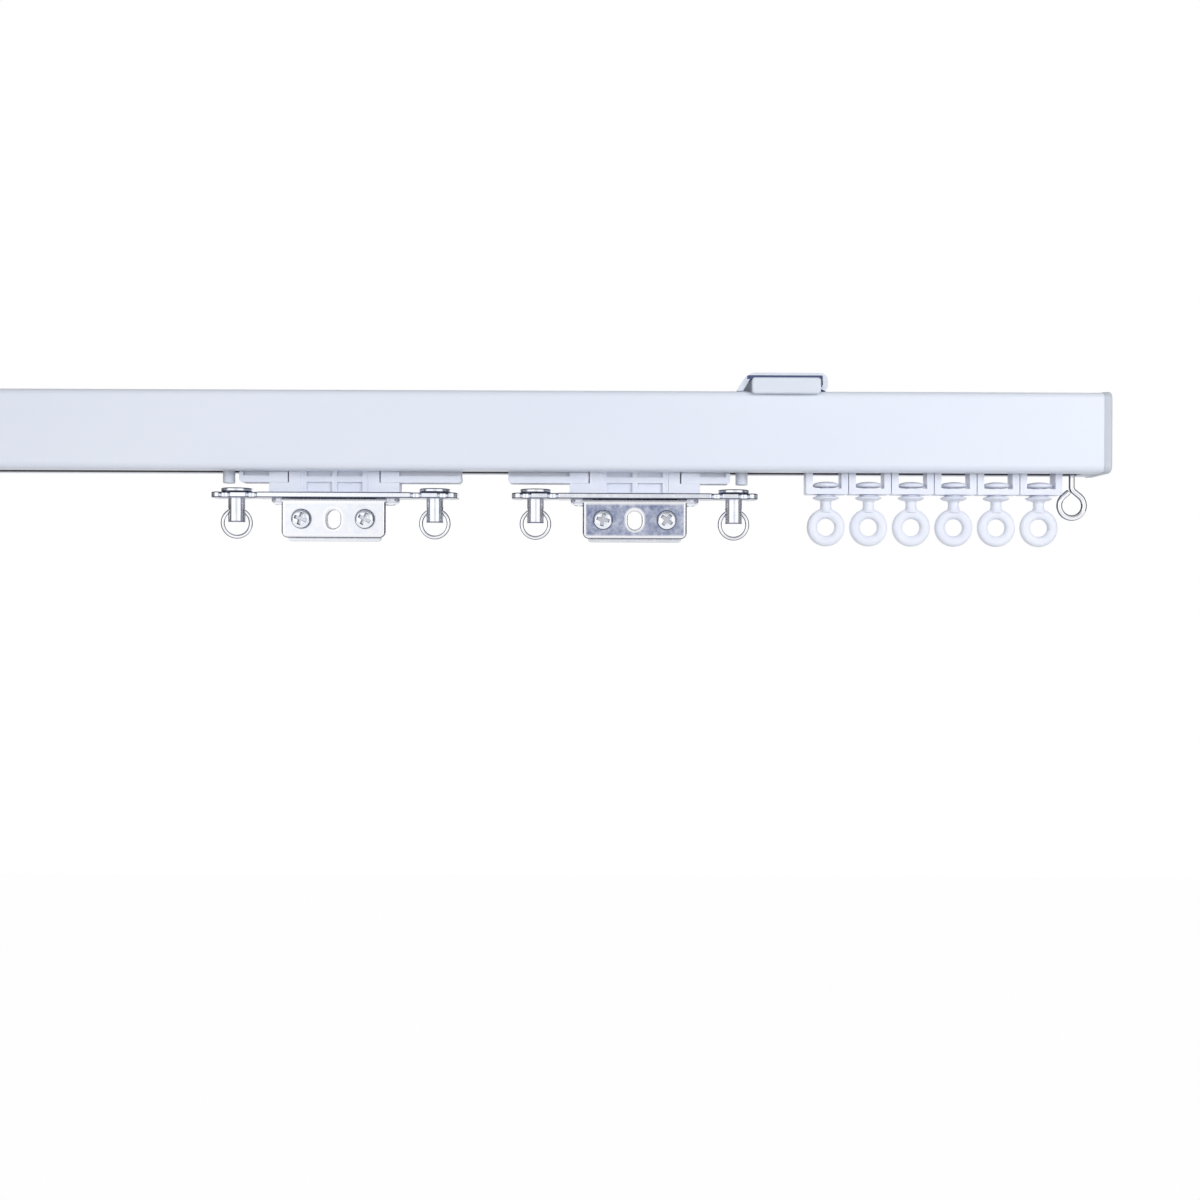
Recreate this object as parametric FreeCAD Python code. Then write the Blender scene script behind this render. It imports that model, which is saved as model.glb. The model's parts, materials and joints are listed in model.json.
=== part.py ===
import FreeCAD
import Part
import math
import os
from FreeCAD import Vector

# A ceiling-mounted curtain track: a box profile, its clips, caps and end stops,
# two master carriers with their hook pins, and a row of gliders.
# Millimetres. +X along the track, -Y towards the room, +Z up.
# The origin is on the ceiling, midway between the two ceiling screws.

# Track profile
track_length = 640.0
track_width = 25.0
track_height = 30.0
track_wall = 1.3
track_corner = 2.6
slot_width = 8.6
slot_lip = 1.6
slot_lip_corner = 0.5
groove_width = 10.4
groove_lip = 1.3
groove_depth = 2.3
web_thickness = 1.2
upper_chamber_height = 9.0
chamber_corner = 0.8

# End caps
cap_thickness = 3.0
cap_overhang = 0.25
cap_edge = 0.9
plug_length = 8.0
plug_wall = 1.6
plug_clearance = 0.15
tongue_length = 5.5

# Ceiling clips
clip_spacing = 400.0
clip_height = 7.0
clip_sheet = 2.0
clip_left_reach = 17.1
clip_left_top = 12.9
clip_right_reach = 17.1
clip_tuck = 1.6
clip_tuck_height = 2.0
clip_bend = 3.0
clip_depth = 21.0
clip_screw_hole = 4.5
clip_seat_gap = 0.1
hook_inner_x = 10.4
hook_outer_x = 14.0
hook_sheet = 1.4
hook_bite = 2.5
hook_gap = 0.15
latch_sheet = 2.0
latch_gap = 0.3
latch_width = 14.6
latch_window = 9.0
latch_window_front = 4.6
latch_travel = 3.2
handle_width = 25.8
handle_offset = 1.1
handle_height = 6.0
handle_sheet = 2.1
handle_corner = 1.3
handle_gap = 0.3
rivet_y = -7.9
rivet_shank = 4.0
rivet_head = 7.2
rivet_head_height = 1.25
rivet_gap = 0.15

# End stops
stop_inset = 8.5
stop_wire = 2.2
stop_loop_radius = 4.7
stop_loop_drop = 11.7
stop_neck_drop = 5.6
stop_butt_gap = 1.3
stop_nut_length = 8.4
stop_nut_width = 16.0
stop_nut_height = 2.5
stop_fit = 0.05
stop_shank_above_nut = 1.0

# Master carriers
first_glider_gap = 18.2
wing_gap = 17.9
body_depth = 8.0
body_length = 49.3
body_drop = 7.9
body_ledge_drop = 4.2
column_length = 34.2
chassis_roller_margin = 6.0
chassis_peg_margin = 1.0
chassis_depth = 7.6
chassis_height = 8.2
chassis_above_lip = 1.2
window_length = 25.6
window_recess = 0.4
pane_recess = 1.9
pane_post = 1.9
pane_side = 2.3
rib_top_drop = 1.8
rib_bottom_drop = 4.0
pane_floor = 0.3
shoe_gap = 0.5
shoe_fit = 0.1
slit_rib = 3.0
shoe_depth = 8.4
shoe_web = 5.2
shoe_top_gap = 0.3
shoe_web_drop = 1.7
inner_shoe_reach = 47.9
outer_shoe_reach = 36.0
shoe_post = 1.6
shoe_end_radius = 1.2
peg_gap = 2.4
peg_diameter = 4.6
peg_drop = 4.4

# Carrier rollers
carrier_roller_x = 30.0
carrier_roller_diameter = 11.0
roller_width = 4.0
roller_edge = 0.5
roller_to_slot = 0.6
roller_axle = 2.6
roller_hub = 5.0
roller_running_gap = 0.05
axle_clearance = 0.05

# Hook plate and clamp under each carrier
hook_plate_length = 93.3
hook_plate_width = 12.0
hook_plate_sheet = 2.2
hook_plate_end_radius = 3.2
scallop_radius = 2.0
scallop_inward = 6.7
scallop_outward = 3.5
pin_inset = 8.95
fixing_inset = 4.15
fixing_shank = 3.4
fixing_head = 7.8
fixing_head_height = 2.5
fixing_length = 9.0
screw_clearance = 0.05
bracket_width = 39.3
bracket_leg = 31.8
bracket_sheet = 1.5
bracket_height = 15.1
bracket_bend = 2.0
bracket_corner = 2.3
clamp_screw_spacing = 24.0
clamp_screw_drop = 8.0
clamp_screw = 3.9
clamp_head = 7.5
clamp_head_height = 2.2
clamp_gap = 1.9
oval_width = 5.3
oval_height = 7.0
oval_bevel = 0.7
rear_plate_width = 35.6
rear_plate_drop = 1.2
rear_plate_top = 3.1
rear_plate_corner = 1.5
cross_length = 4.4
cross_width = 1.1
cross_depth = 1.1

# Hook pins and rings
pin_diameter = 6.5
pin_head = 11.8
pin_head_height = 1.5
pin_length = 9.1
pin_clearance = 0.08
pin_edge = 0.4
ring_diameter = 12.0
ring_wire = 1.5
ring_hole_clearance = 0.12
ring_drop = 5.27
left_ring_turn = 20.0

# Gliders
glider_count = 6
last_glider_gap = 3.55
glider_pitch = 16.2
glider_gap = 0.3
glider_depth = 7.8
glider_leg = 2.55
glider_bar_drop = 5.75
glider_bar = 2.15
glider_bar_edge = 0.7
glider_block_depth = 7.2
glider_block_height = 6.0
glider_block_above_lip = 1.4
glider_roller_diameter = 9.0
glider_roller_width = 3.4
eye_button = 10.0
eye_button_rise = 1.3
eye_button_edge = 0.9
eye_button_gap = 0.6
eye_waist = 4.1
eye_waist_clearance = 0.1
eye_disc = 10.0
eye_disc_top = 6.6
eye_disc_height = 1.9
eye_disc_edge = 0.5
eye_ring = 14.5
eye_hole = 6.5
eye_ring_depth = 3.6
eye_ring_edge = 1.2
eye_centre_drop = 12.4

# Levels worked out from the sizes above
track_top = -clip_height
track_bottom = track_top - track_height
track_half = track_length / 2
track_face = track_width / 2
slot_half = slot_width / 2
chamber_half = track_face - track_wall
groove_floor = track_top - groove_lip - groove_depth
upper_chamber_top = groove_floor - web_thickness
upper_chamber_floor = upper_chamber_top - upper_chamber_height
channel_top = upper_chamber_floor - web_thickness
lip_top = track_bottom + slot_lip
ledge_level = track_bottom - body_ledge_drop
plate_top = track_bottom - body_drop
plate_bottom = plate_top - hook_plate_sheet
chassis_bottom = lip_top + chassis_above_lip
bar_top = track_bottom - glider_bar_drop
bar_bottom = bar_top - glider_bar
bracket_face = -hook_plate_width / 2
rear_plate_front = bracket_face + bracket_sheet + clamp_gap
clamp_level = plate_bottom - clamp_screw_drop
ring_radius = (ring_diameter - ring_wire) / 2
ring_chord_height = math.sqrt(ring_radius ** 2 - (pin_diameter / 2) ** 2)
pin_bore_sag = (ring_radius - ring_chord_height) / 2
pin_bore_radius = ring_wire / 2 * ring_radius / ring_chord_height + pin_bore_sag + ring_hole_clearance
ring_axis_level = plate_bottom - ring_drop + pin_bore_sag

# Places along the track, each one a gap away from its neighbour, from the right end stop leftwards
stop_x = track_half - stop_inset
glider_half = (glider_pitch - glider_gap) / 2
last_glider_x = stop_x - stop_wire / 2 - last_glider_gap - glider_half
glider_x = [last_glider_x - glider_pitch * i for i in reversed(range(glider_count))]
right_carrier_x = glider_x[0] - glider_half - first_glider_gap - hook_plate_length / 2
left_carrier_x = right_carrier_x - 2 * inner_shoe_reach - wing_gap

# Places along a carrier, from its middle
fixing_x = body_length / 2 - fixing_inset
peg_x = outer_shoe_reach + peg_gap + peg_diameter / 2
chassis_outer_reach = peg_x + peg_diameter / 2 + chassis_peg_margin
chassis_inner_reach = carrier_roller_x + chassis_roller_margin
pin_x = hook_plate_length / 2 - pin_inset
scallop_x = (pin_x - scallop_inward, pin_x + scallop_outward)


def block(x_span, y_span, z_span):
    corner = Vector(x_span[0], y_span[0], z_span[0])
    sizes = [span[1] - span[0] for span in (x_span, y_span, z_span)]
    return Part.makeBox(*sizes, corner)


def rod(diameter, start, end):
    line = end - start
    return Part.makeCylinder(diameter / 2, line.Length, start, line)


def edges_along(shape, axis, accept=None):
    found = []
    for edge in shape.Edges:
        if not isinstance(edge.Curve, Part.Line):
            continue
        run = edge.Vertexes[-1].Point - edge.Vertexes[0].Point
        middle = edge.CenterOfMass
        if run.cross(axis).Length < 1e-6 and (accept is None or accept(middle)):
            found.append(edge)
    return found


def rounded(shape, radius, axis, accept=None):
    return shape.makeFillet(radius, edges_along(shape, axis, accept))


def revolved(outline, centre, axis):
    """A solid turned from a closed outline of (radius, height) points about an axis along Z or Y."""
    upright = axis.z != 0
    points = []
    for radius, height in outline:
        step = Vector(radius, 0, height) if upright else Vector(radius, height, 0)
        points.append(centre + step)
    face = Part.Face(Part.makePolygon(points + points[:1]))
    return face.revolve(centre, axis, 360)


def oval_bore(centre_z, y_start, y_end, grow=0.0):
    """An upright oval prism along Y, for the slots in the clamp plates."""
    half_width = oval_width / 2 + grow
    straight = (oval_height - oval_width) / 2
    depth = y_end - y_start
    middle = block((-half_width, half_width), (y_start, y_end), (centre_z - straight, centre_z + straight))
    for side in (-1, 1):
        start = Vector(0, y_start, centre_z + side * straight)
        middle = middle.fuse(Part.makeCylinder(half_width, depth, start, Vector(0, 1, 0)))
    return middle.removeSplitter()


# Track, caps and stops


def make_track():
    length = (-track_half, track_half)
    body = block(length, (-track_face, track_face), (track_bottom, track_top))
    body = rounded(body, track_corner, Vector(1, 0, 0))
    upper = block(length, (-chamber_half, chamber_half), (upper_chamber_floor, upper_chamber_top))
    channel = block(length, (-chamber_half, chamber_half), (lip_top, channel_top))
    groove = block(length, (-chamber_half, chamber_half), (groove_floor, track_top - groove_lip))
    for chamber in (upper, channel, groove):
        body = body.cut(rounded(chamber, chamber_corner, Vector(1, 0, 0)))
    mouth = block(length, (-groove_width / 2, groove_width / 2), (groove_floor + chamber_corner, track_top))
    slot = block(length, (-slot_half, slot_half), (track_bottom, lip_top + chamber_corner))
    body = body.cut(mouth.fuse(slot)).removeSplitter()
    return rounded(body, slot_lip_corner, Vector(1, 0, 0),
                   lambda p: abs(abs(p.y) - slot_half) < 1e-6 and abs(p.z - track_bottom) < 1e-6)


def make_end_cap(side):
    reach = track_face + cap_overhang
    plate = block((track_half, track_half + cap_thickness), (-reach, reach),
                  (track_bottom - cap_overhang, track_top + cap_overhang))
    plate = rounded(plate, track_corner + cap_overhang, Vector(1, 0, 0))
    outer = [edge for edge in plate.Edges
             if all(abs(v.X - track_half - cap_thickness) < 1e-6 for v in edge.Vertexes)]
    plate = plate.makeFillet(cap_edge, outer)
    half = chamber_half - plug_clearance
    low = upper_chamber_floor + plug_clearance
    high = upper_chamber_top - plug_clearance
    plug = block((track_half - plug_length, track_half), (-half, half), (low, high))
    plug = rounded(plug, chamber_corner, Vector(1, 0, 0))
    hollow = block((track_half - plug_length, track_half), (plug_wall - half, half - plug_wall),
                   (low + plug_wall, high - plug_wall))
    tongue_half = slot_half - plug_clearance
    tongue = block((track_half - tongue_length, track_half), (-tongue_half, tongue_half),
                   (track_bottom, lip_top - plug_clearance))
    cap = plate.fuse(plug.cut(hollow)).fuse(tongue).removeSplitter()
    return cap if side > 0 else cap.mirror(Vector(0, 0, 0), Vector(1, 0, 0))


def make_stop_eye(side):
    """An eye screw of bent wire: shank, right flank, round bottom, left flank, butted at the neck."""
    neck = track_bottom - stop_neck_drop
    centre = Vector(0, 0, track_bottom - stop_loop_drop)
    drop = neck - centre.z
    lean = math.acos(stop_loop_radius / drop)
    right_angle = math.pi / 2 - lean
    left_angle = math.pi / 2 + lean

    def on_loop(angle):
        return centre + Vector(math.cos(angle), 0, math.sin(angle)) * stop_loop_radius

    top = Vector(0, 0, lip_top + stop_nut_height + stop_shank_above_nut)
    knee = Vector(0, 0, neck)
    right = on_loop(right_angle)
    left = on_loop(left_angle)
    left_run = knee - left
    butt = left + left_run * (1 - stop_butt_gap / left_run.Length)
    arc = Part.Arc(right, on_loop(-math.pi / 2), left).toShape()
    bend = stop_wire * 0.9
    start = knee + Vector(0, 0, bend)
    flank_dir = (right - knee).normalize()
    finish = knee + flank_dir * bend
    swing = Part.BezierCurve()
    swing.setPoles([start, knee, finish])
    parts = [Part.makeLine(top, start), swing.toShape(), Part.makeLine(finish, right), arc,
             Part.makeLine(left, butt)]
    path = Part.Wire(parts)
    ring = Part.Wire(Part.makeCircle(stop_wire / 2, top, Vector(0, 0, -1)))
    eye = path.makePipeShell([ring], True, True)
    eye.translate(Vector(stop_x, 0, 0))
    return eye if side > 0 else eye.mirror(Vector(0, 0, 0), Vector(1, 0, 0))


def make_stop_nut(side):
    half_length = stop_nut_length / 2
    half_width = stop_nut_width / 2
    nut_top = lip_top + stop_nut_height
    nut = block((-half_length, half_length), (-half_width, half_width), (lip_top, nut_top))
    nut = rounded(nut, half_length * 0.4, Vector(0, 0, 1))
    bore = rod(stop_wire + 2 * stop_fit, Vector(0, 0, lip_top), Vector(0, 0, nut_top))
    nut = nut.cut(bore)
    nut.translate(Vector(side * stop_x, 0, 0))
    return nut


# Ceiling clips


def offset_chain(points, distance):
    """The chain of points moved sideways by a distance, with mitred corners."""
    moved = []
    for i, point in enumerate(points):
        normals = []
        for a, b in ((i - 1, i), (i, i + 1)):
            if a >= 0 and b < len(points):
                run = (points[b] - points[a]).normalize()
                normals.append(Vector(-run.z, 0, run.x))
        blend = sum(normals[1:], normals[0]).normalize()
        moved.append(point - blend * (distance / blend.dot(normals[0])))
    return moved


def make_clip_plate(x):
    foot = track_top + clip_seat_gap
    outer = [Vector(-clip_left_reach, 0, foot), Vector(-clip_left_top, 0, 0)]
    outer += [Vector(clip_right_reach, 0, 0), Vector(clip_right_reach, 0, foot + clip_tuck_height)]
    outer += [Vector(clip_right_reach - clip_tuck, 0, foot)]
    inner = offset_chain(outer, clip_sheet)
    face = Part.Face(Part.makePolygon(outer + inner[::-1] + outer[:1]))
    face.translate(Vector(0, -clip_depth / 2, 0))
    sheet = face.extrude(Vector(0, clip_depth, 0))
    inner_bend = clip_bend - clip_sheet
    sheet = rounded(sheet, clip_bend, Vector(0, 1, 0),
                    lambda p: abs(p.z) < 1e-6)
    sheet = rounded(sheet, inner_bend, Vector(0, 1, 0),
                    lambda p: abs(p.z + clip_sheet) < 1e-6)
    trim = block((-clip_left_reach * 2, clip_right_reach * 2), (-clip_depth, clip_depth),
                 (foot - clip_sheet, foot))
    sheet = sheet.cut(trim)
    throat = groove_width / 2
    leg_front = -throat + hook_gap * 2
    toe_top = track_top - groove_lip - hook_gap
    toe_bottom = toe_top - hook_sheet
    for side in (-1, 1):
        span = sorted((side * hook_inner_x, side * hook_outer_x))
        leg = block(span, (leg_front, leg_front + hook_sheet), (toe_bottom, -clip_sheet))
        toe = block(span, (-throat - hook_bite, leg_front + hook_sheet), (toe_bottom, toe_top))
        sheet = sheet.fuse(leg.fuse(toe))
    screw = rod(clip_screw_hole, Vector(0, 0, -clip_sheet), Vector(0, 0, 0))
    rivet = rod(rivet_shank + 2 * screw_clearance, Vector(0, rivet_y, -clip_sheet), Vector(0, rivet_y, 0))
    sheet = sheet.cut(screw.fuse(rivet)).removeSplitter()
    sheet.translate(Vector(x, 0, 0))
    return sheet


def make_clip_latch(x):
    """The sliding latch: a tongue with two hooked prongs, and a handle folded down over the track's face."""
    top = -clip_sheet - latch_gap
    bottom = top - latch_sheet
    half = latch_width / 2
    window = latch_window / 2
    throat = groove_width / 2
    leg_rear = throat - 2 * hook_gap
    handle_rear = -track_face - handle_gap
    tongue = block((-half, half), (handle_rear, leg_rear), (bottom, top))
    opening = block((-window, window), (-latch_window_front, leg_rear), (bottom, top))
    slot_half_width = rivet_shank / 2 + rivet_gap
    slot = block((-slot_half_width, slot_half_width), (rivet_y, rivet_y + latch_travel), (bottom, top))
    for y in (rivet_y, rivet_y + latch_travel):
        slot = slot.fuse(rod(2 * slot_half_width, Vector(0, y, bottom), Vector(0, y, top)))
    tongue = tongue.cut(opening.fuse(slot))
    toe_top = track_top - groove_lip - hook_gap
    toe_bottom = toe_top - hook_sheet
    for side in (-1, 1):
        span = sorted((side * window, side * half))
        leg = block(span, (leg_rear - hook_sheet, leg_rear), (toe_bottom, top))
        toe = block(span, (leg_rear - hook_sheet, throat + hook_bite), (toe_bottom, toe_top))
        tongue = tongue.fuse(leg.fuse(toe))
    handle = block((handle_offset - handle_width / 2, handle_offset + handle_width / 2),
                   (handle_rear - handle_sheet, handle_rear), (top - handle_height, top))
    handle = rounded(handle, handle_corner, Vector(0, 1, 0))
    face = [edge for edge in handle.Edges
            if all(abs(v.Y - handle_rear + handle_sheet) < 1e-6 for v in edge.Vertexes)]
    handle = handle.makeFillet(handle_sheet * 0.35, face)
    latch = tongue.fuse(handle).removeSplitter()
    latch.translate(Vector(x, 0, 0))
    return latch


def make_clip_rivet(x):
    head_top = -clip_sheet - latch_gap - latch_sheet - rivet_gap
    shank = rod(rivet_shank, Vector(x, rivet_y, head_top), Vector(x, rivet_y, 0))
    head = rod(rivet_head, Vector(x, rivet_y, head_top - rivet_head_height), Vector(x, rivet_y, head_top))
    rim = [edge for edge in head.Edges if abs(edge.CenterOfMass.z - head_top + rivet_head_height) < 1e-6]
    head = head.makeFillet(rivet_head_height * 0.5, rim)
    return shank.fuse(head).removeSplitter()


# Rollers


def make_roller_set(diameter, width, level, x):
    """Two rollers on one axle, turned as a single piece, running on the lips of the slot."""
    inner = slot_half + roller_to_slot
    outer = inner + width
    radius = diameter / 2
    outline = [(0, -outer - roller_edge), (roller_hub / 2, -outer - roller_edge), (roller_hub / 2, -outer)]
    outline += [(radius - roller_edge, -outer), (radius, -outer + roller_edge)]
    outline += [(radius, -inner - roller_edge), (radius - roller_edge, -inner), (roller_axle / 2, -inner)]
    outline += [(r, -h) for r, h in reversed(outline)]
    return revolved(outline, Vector(x, 0, level), Vector(0, 1, 0))


def roller_level(diameter):
    return lip_top + diameter / 2 + roller_running_gap


# Master carriers, modelled about x = 0 with the long wing towards +X


def make_carrier_body():
    half = body_length / 2
    column = column_length / 2
    face = body_depth / 2
    base = block((-half, half), (-face, face), (plate_top, ledge_level))
    post = block((-column, column), (-face, face), (ledge_level, chassis_bottom))
    chassis = block((-chassis_outer_reach, chassis_inner_reach), (-chassis_depth / 2, chassis_depth / 2),
                    (chassis_bottom, chassis_bottom + chassis_height))
    chassis = rounded(chassis, chassis_height * 0.3, Vector(0, 1, 0), lambda p: p.z > chassis_bottom + 1)
    rib_reach = column + shoe_gap - shoe_fit
    rib = block((-rib_reach, rib_reach), (-slit_rib / 2, slit_rib / 2), (ledge_level, chassis_bottom))
    body = base.fuse(post).fuse(rib).fuse(chassis)
    window = window_length / 2
    for side in (-1, 1):
        outer_face = side * face
        recess = sorted((outer_face, outer_face - side * window_recess))
        body = body.cut(block((-window, window), recess, (plate_top, track_bottom)))
        pane_span = sorted((outer_face, outer_face - side * pane_recess))
        rows = ((track_bottom - rib_top_drop, track_bottom + pane_floor),
                (plate_top + pane_floor, track_bottom - rib_bottom_drop))
        for low, high in rows:
            for end in (-1, 1):
                pane = sorted((end * pane_post / 2, end * (window - pane_side)))
                body = body.cut(block(pane, pane_span, (low, high)))
    bore_level = roller_level(carrier_roller_diameter)
    reach = chassis_depth
    for x in (-carrier_roller_x, carrier_roller_x):
        start = Vector(x, -reach, bore_level)
        body = body.cut(rod(roller_axle + 2 * axle_clearance, start, Vector(x, reach, bore_level)))
    for x in (-fixing_x, fixing_x):
        body = body.cut(fixing_bore(x, plate_top, ledge_level))
    return body.removeSplitter()


def fixing_bore(x, low, high):
    return rod(fixing_shank + 2 * screw_clearance, Vector(x, 0, low), Vector(x, 0, high))


def make_shoe(reach, has_post):
    """A guide shoe on one side of the column: a block on the ledge and a wing with a bead."""
    start = column_length / 2 + shoe_gap
    ledge_end = body_length / 2
    top = track_bottom - shoe_top_gap
    half = shoe_depth / 2
    web = shoe_web / 2
    stem = body_depth / 2 - window_recess / 4
    bead_top = track_bottom - shoe_web_drop
    seat = block((start, ledge_end), (-half, half), (ledge_level, top))
    neck = block((start, ledge_end), (-stem, stem), (top, chassis_bottom))
    wing_web = block((ledge_end, reach), (-web, web), (bead_top, chassis_bottom))
    bead = block((ledge_end, reach), (-half, half), (ledge_level, bead_top))
    bead = rounded(bead, shoe_end_radius, Vector(0, 1, 0), lambda p: p.x > reach - 1 and p.z < bead_top - 0.1)
    shoe = seat.fuse(neck).fuse(wing_web).fuse(bead)
    if has_post:
        shoe = shoe.fuse(block((reach - shoe_post, reach), (-half, half), (bead_top, top)))
    bore = fixing_bore(fixing_x, ledge_level, plate_bottom + fixing_length + screw_clearance)
    return shoe.cut(bore).removeSplitter()


def make_peg():
    return rod(peg_diameter, Vector(-peg_x, 0, track_bottom - peg_drop), Vector(-peg_x, 0, chassis_bottom))


def plate_bore(diameter, x, y):
    return rod(diameter, Vector(x, y, plate_bottom), Vector(x, y, plate_top))


def make_hook_plate():
    half = hook_plate_length / 2
    edge = hook_plate_width / 2
    plate = block((-half, half), (-edge, edge), (plate_bottom, plate_top))
    plate = rounded(plate, hook_plate_end_radius, Vector(0, 0, 1))
    cutters = []
    for side in (-1, 1):
        for y in (-edge, edge):
            for x in scallop_x:
                cutters.append(plate_bore(2 * scallop_radius, side * x, y))
        cutters.append(plate_bore(pin_diameter + 2 * pin_clearance, side * pin_x, 0))
        cutters.append(fixing_bore(side * fixing_x, plate_bottom, plate_top))
    return plate.cut(Part.makeCompound(cutters))


def clamp_bore(side, diameter, y_start, y_end):
    x = side * clamp_screw_spacing / 2
    return rod(diameter, Vector(x, y_start, clamp_level), Vector(x, y_end, clamp_level))


def make_bracket():
    """The folded clamp bracket: a leg under the hook plate and a flange down its front edge."""
    half = bracket_width / 2
    back = bracket_face + bracket_sheet
    bottom = plate_bottom - bracket_height
    leg_span = (plate_bottom - bracket_sheet, plate_bottom)
    flange = block((-half, half), (bracket_face, back), (bottom, plate_bottom))
    strip = block((-half, half), (bracket_face, bracket_face + bracket_bend), leg_span)
    leg = block((-bracket_leg / 2, bracket_leg / 2), (bracket_face, -bracket_face), leg_span)
    shape = flange.fuse(strip).fuse(leg).removeSplitter()
    shape = rounded(shape, bracket_bend, Vector(1, 0, 0),
                    lambda p: abs(p.y - bracket_face) < 1e-6 and abs(p.z - plate_bottom) < 1e-6)
    shape = rounded(shape, bracket_corner, Vector(0, 1, 0), lambda p: abs(p.z - bottom) < 1e-6)
    cutters = [oval_bore(clamp_level, bracket_face, back)]
    rim = oval_bore(clamp_level, bracket_face, bracket_face + bracket_sheet * 0.3, oval_bevel)
    cutters.append(rim)
    for side in (-1, 1):
        cutters.append(clamp_bore(side, clamp_screw + 2 * screw_clearance, bracket_face, back))
    for cutter in cutters:
        shape = shape.cut(cutter)
    return shape


def make_rear_plate():
    half = rear_plate_width / 2
    back = rear_plate_front + bracket_sheet
    bottom = plate_bottom - bracket_height - rear_plate_drop
    top = plate_bottom - rear_plate_top
    plate = block((-half, half), (rear_plate_front, back), (bottom, top))
    plate = rounded(plate, rear_plate_corner, Vector(0, 1, 0))
    plate = plate.cut(oval_bore(clamp_level, rear_plate_front, back))
    for side in (-1, 1):
        plate = plate.cut(clamp_bore(side, clamp_screw + 2 * screw_clearance, rear_plate_front, back))
    return plate


def cross_recess(depth_axis, centre):
    """Two crossed slots sunk into a screw head, to receive a cross-head driver."""
    long_half = cross_length / 2
    narrow = cross_width / 2
    arms = []
    for u, v in ((long_half, narrow), (narrow, long_half)):
        across = (-v, v)
        into = (0, cross_depth)
        arm = block((-u, u), into, across) if depth_axis == "y" else block((-u, u), across, into)
        arm.translate(centre)
        arms.append(arm)
    return arms[0].fuse(arms[1])


def make_clamp_screw(side):
    x = side * clamp_screw_spacing / 2
    back = rear_plate_front + 2 * bracket_sheet
    front = bracket_face - clamp_head_height
    shank = clamp_bore(side, clamp_screw, bracket_face, back)
    head = clamp_bore(side, clamp_head, front, bracket_face)
    rim = [edge for edge in head.Edges if abs(edge.CenterOfMass.y - front) < 1e-6]
    head = head.makeFillet(clamp_head_height * 0.6, rim)
    recess = cross_recess("y", Vector(x, front, clamp_level))
    return shank.fuse(head.cut(recess)).removeSplitter()


def make_fixing_screw(side):
    x = side * fixing_x
    shank = rod(fixing_shank, Vector(x, 0, plate_bottom), Vector(x, 0, plate_bottom + fixing_length))
    low = plate_bottom - fixing_head_height
    head = rod(fixing_head, Vector(x, 0, low), Vector(x, 0, plate_bottom))
    rim = [edge for edge in head.Edges if abs(edge.CenterOfMass.z - low) < 1e-6]
    head = head.makeFillet(fixing_head_height * 0.6, rim)
    return shank.fuse(head.cut(cross_recess("z", Vector(x, 0, low)))).removeSplitter()


def make_hook_pin(x, turn):
    """A headed pin with a cross hole for the ring, hung in the end of the hook plate."""
    seat = plate_top + pin_clearance
    top = seat + pin_head_height
    low = plate_bottom - pin_length
    head = pin_head / 2
    shank = pin_diameter / 2
    outline = [(0, low), (shank - pin_edge, low), (shank, low + pin_edge), (shank, seat), (head, seat)]
    outline += [(head, top - pin_edge), (head - pin_edge, top), (0, top)]
    pin = revolved(outline, Vector(0, 0, 0), Vector(0, 0, 1))
    reach = pin_diameter
    bore = rod(2 * pin_bore_radius, Vector(-reach, 0, ring_axis_level), Vector(reach, 0, ring_axis_level))
    return placed(pin.cut(bore), x, turn)


def make_hook_ring(x, turn):
    centre = Vector(0, 0, ring_axis_level + pin_bore_sag - ring_radius)
    ring = Part.makeTorus(ring_radius, ring_wire / 2, centre, Vector(0, 1, 0))
    return placed(ring, x, turn)


def placed(shape, x, turn):
    shape.rotate(Vector(0, 0, 0), Vector(0, 0, 1), turn)
    shape.translate(Vector(x, 0, 0))
    return shape


def carrier_pieces(name, x, inner, outer_turn):
    """All the pieces of one carrier. inner is +1 where the long wing points to +X, and -1 to -X."""
    pieces = {
        "body": make_carrier_body(),
        "inner_shoe": make_shoe(inner_shoe_reach, False),
        "outer_shoe": make_shoe(outer_shoe_reach, True).mirror(Vector(0, 0, 0), Vector(1, 0, 0)),
        "peg": make_peg(),
        "hook_plate": make_hook_plate(),
        "bracket": make_bracket(),
        "rear_plate": make_rear_plate(),
        "clamp_screws": Part.makeCompound([make_clamp_screw(-1), make_clamp_screw(1)]),
        "fixing_screws": Part.makeCompound([make_fixing_screw(-1), make_fixing_screw(1)]),
        "inner_pin": make_hook_pin(pin_x, 0),
        "outer_pin": make_hook_pin(-pin_x, outer_turn),
        "inner_ring": make_hook_ring(pin_x, 0),
        "outer_ring": make_hook_ring(-pin_x, outer_turn),
    }
    level = roller_level(carrier_roller_diameter)
    for end, roller_x in (("inner", carrier_roller_x), ("outer", -carrier_roller_x)):
        pieces[end + "_rollers"] = make_roller_set(carrier_roller_diameter, roller_width, level, roller_x)
    result = {}
    for key, shape in pieces.items():
        if inner < 0:
            shape = shape.mirror(Vector(0, 0, 0), Vector(1, 0, 0))
        shape.translate(Vector(x, 0, 0))
        result[name + "_carrier_" + key] = shape
    return result


# Gliders


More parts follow.
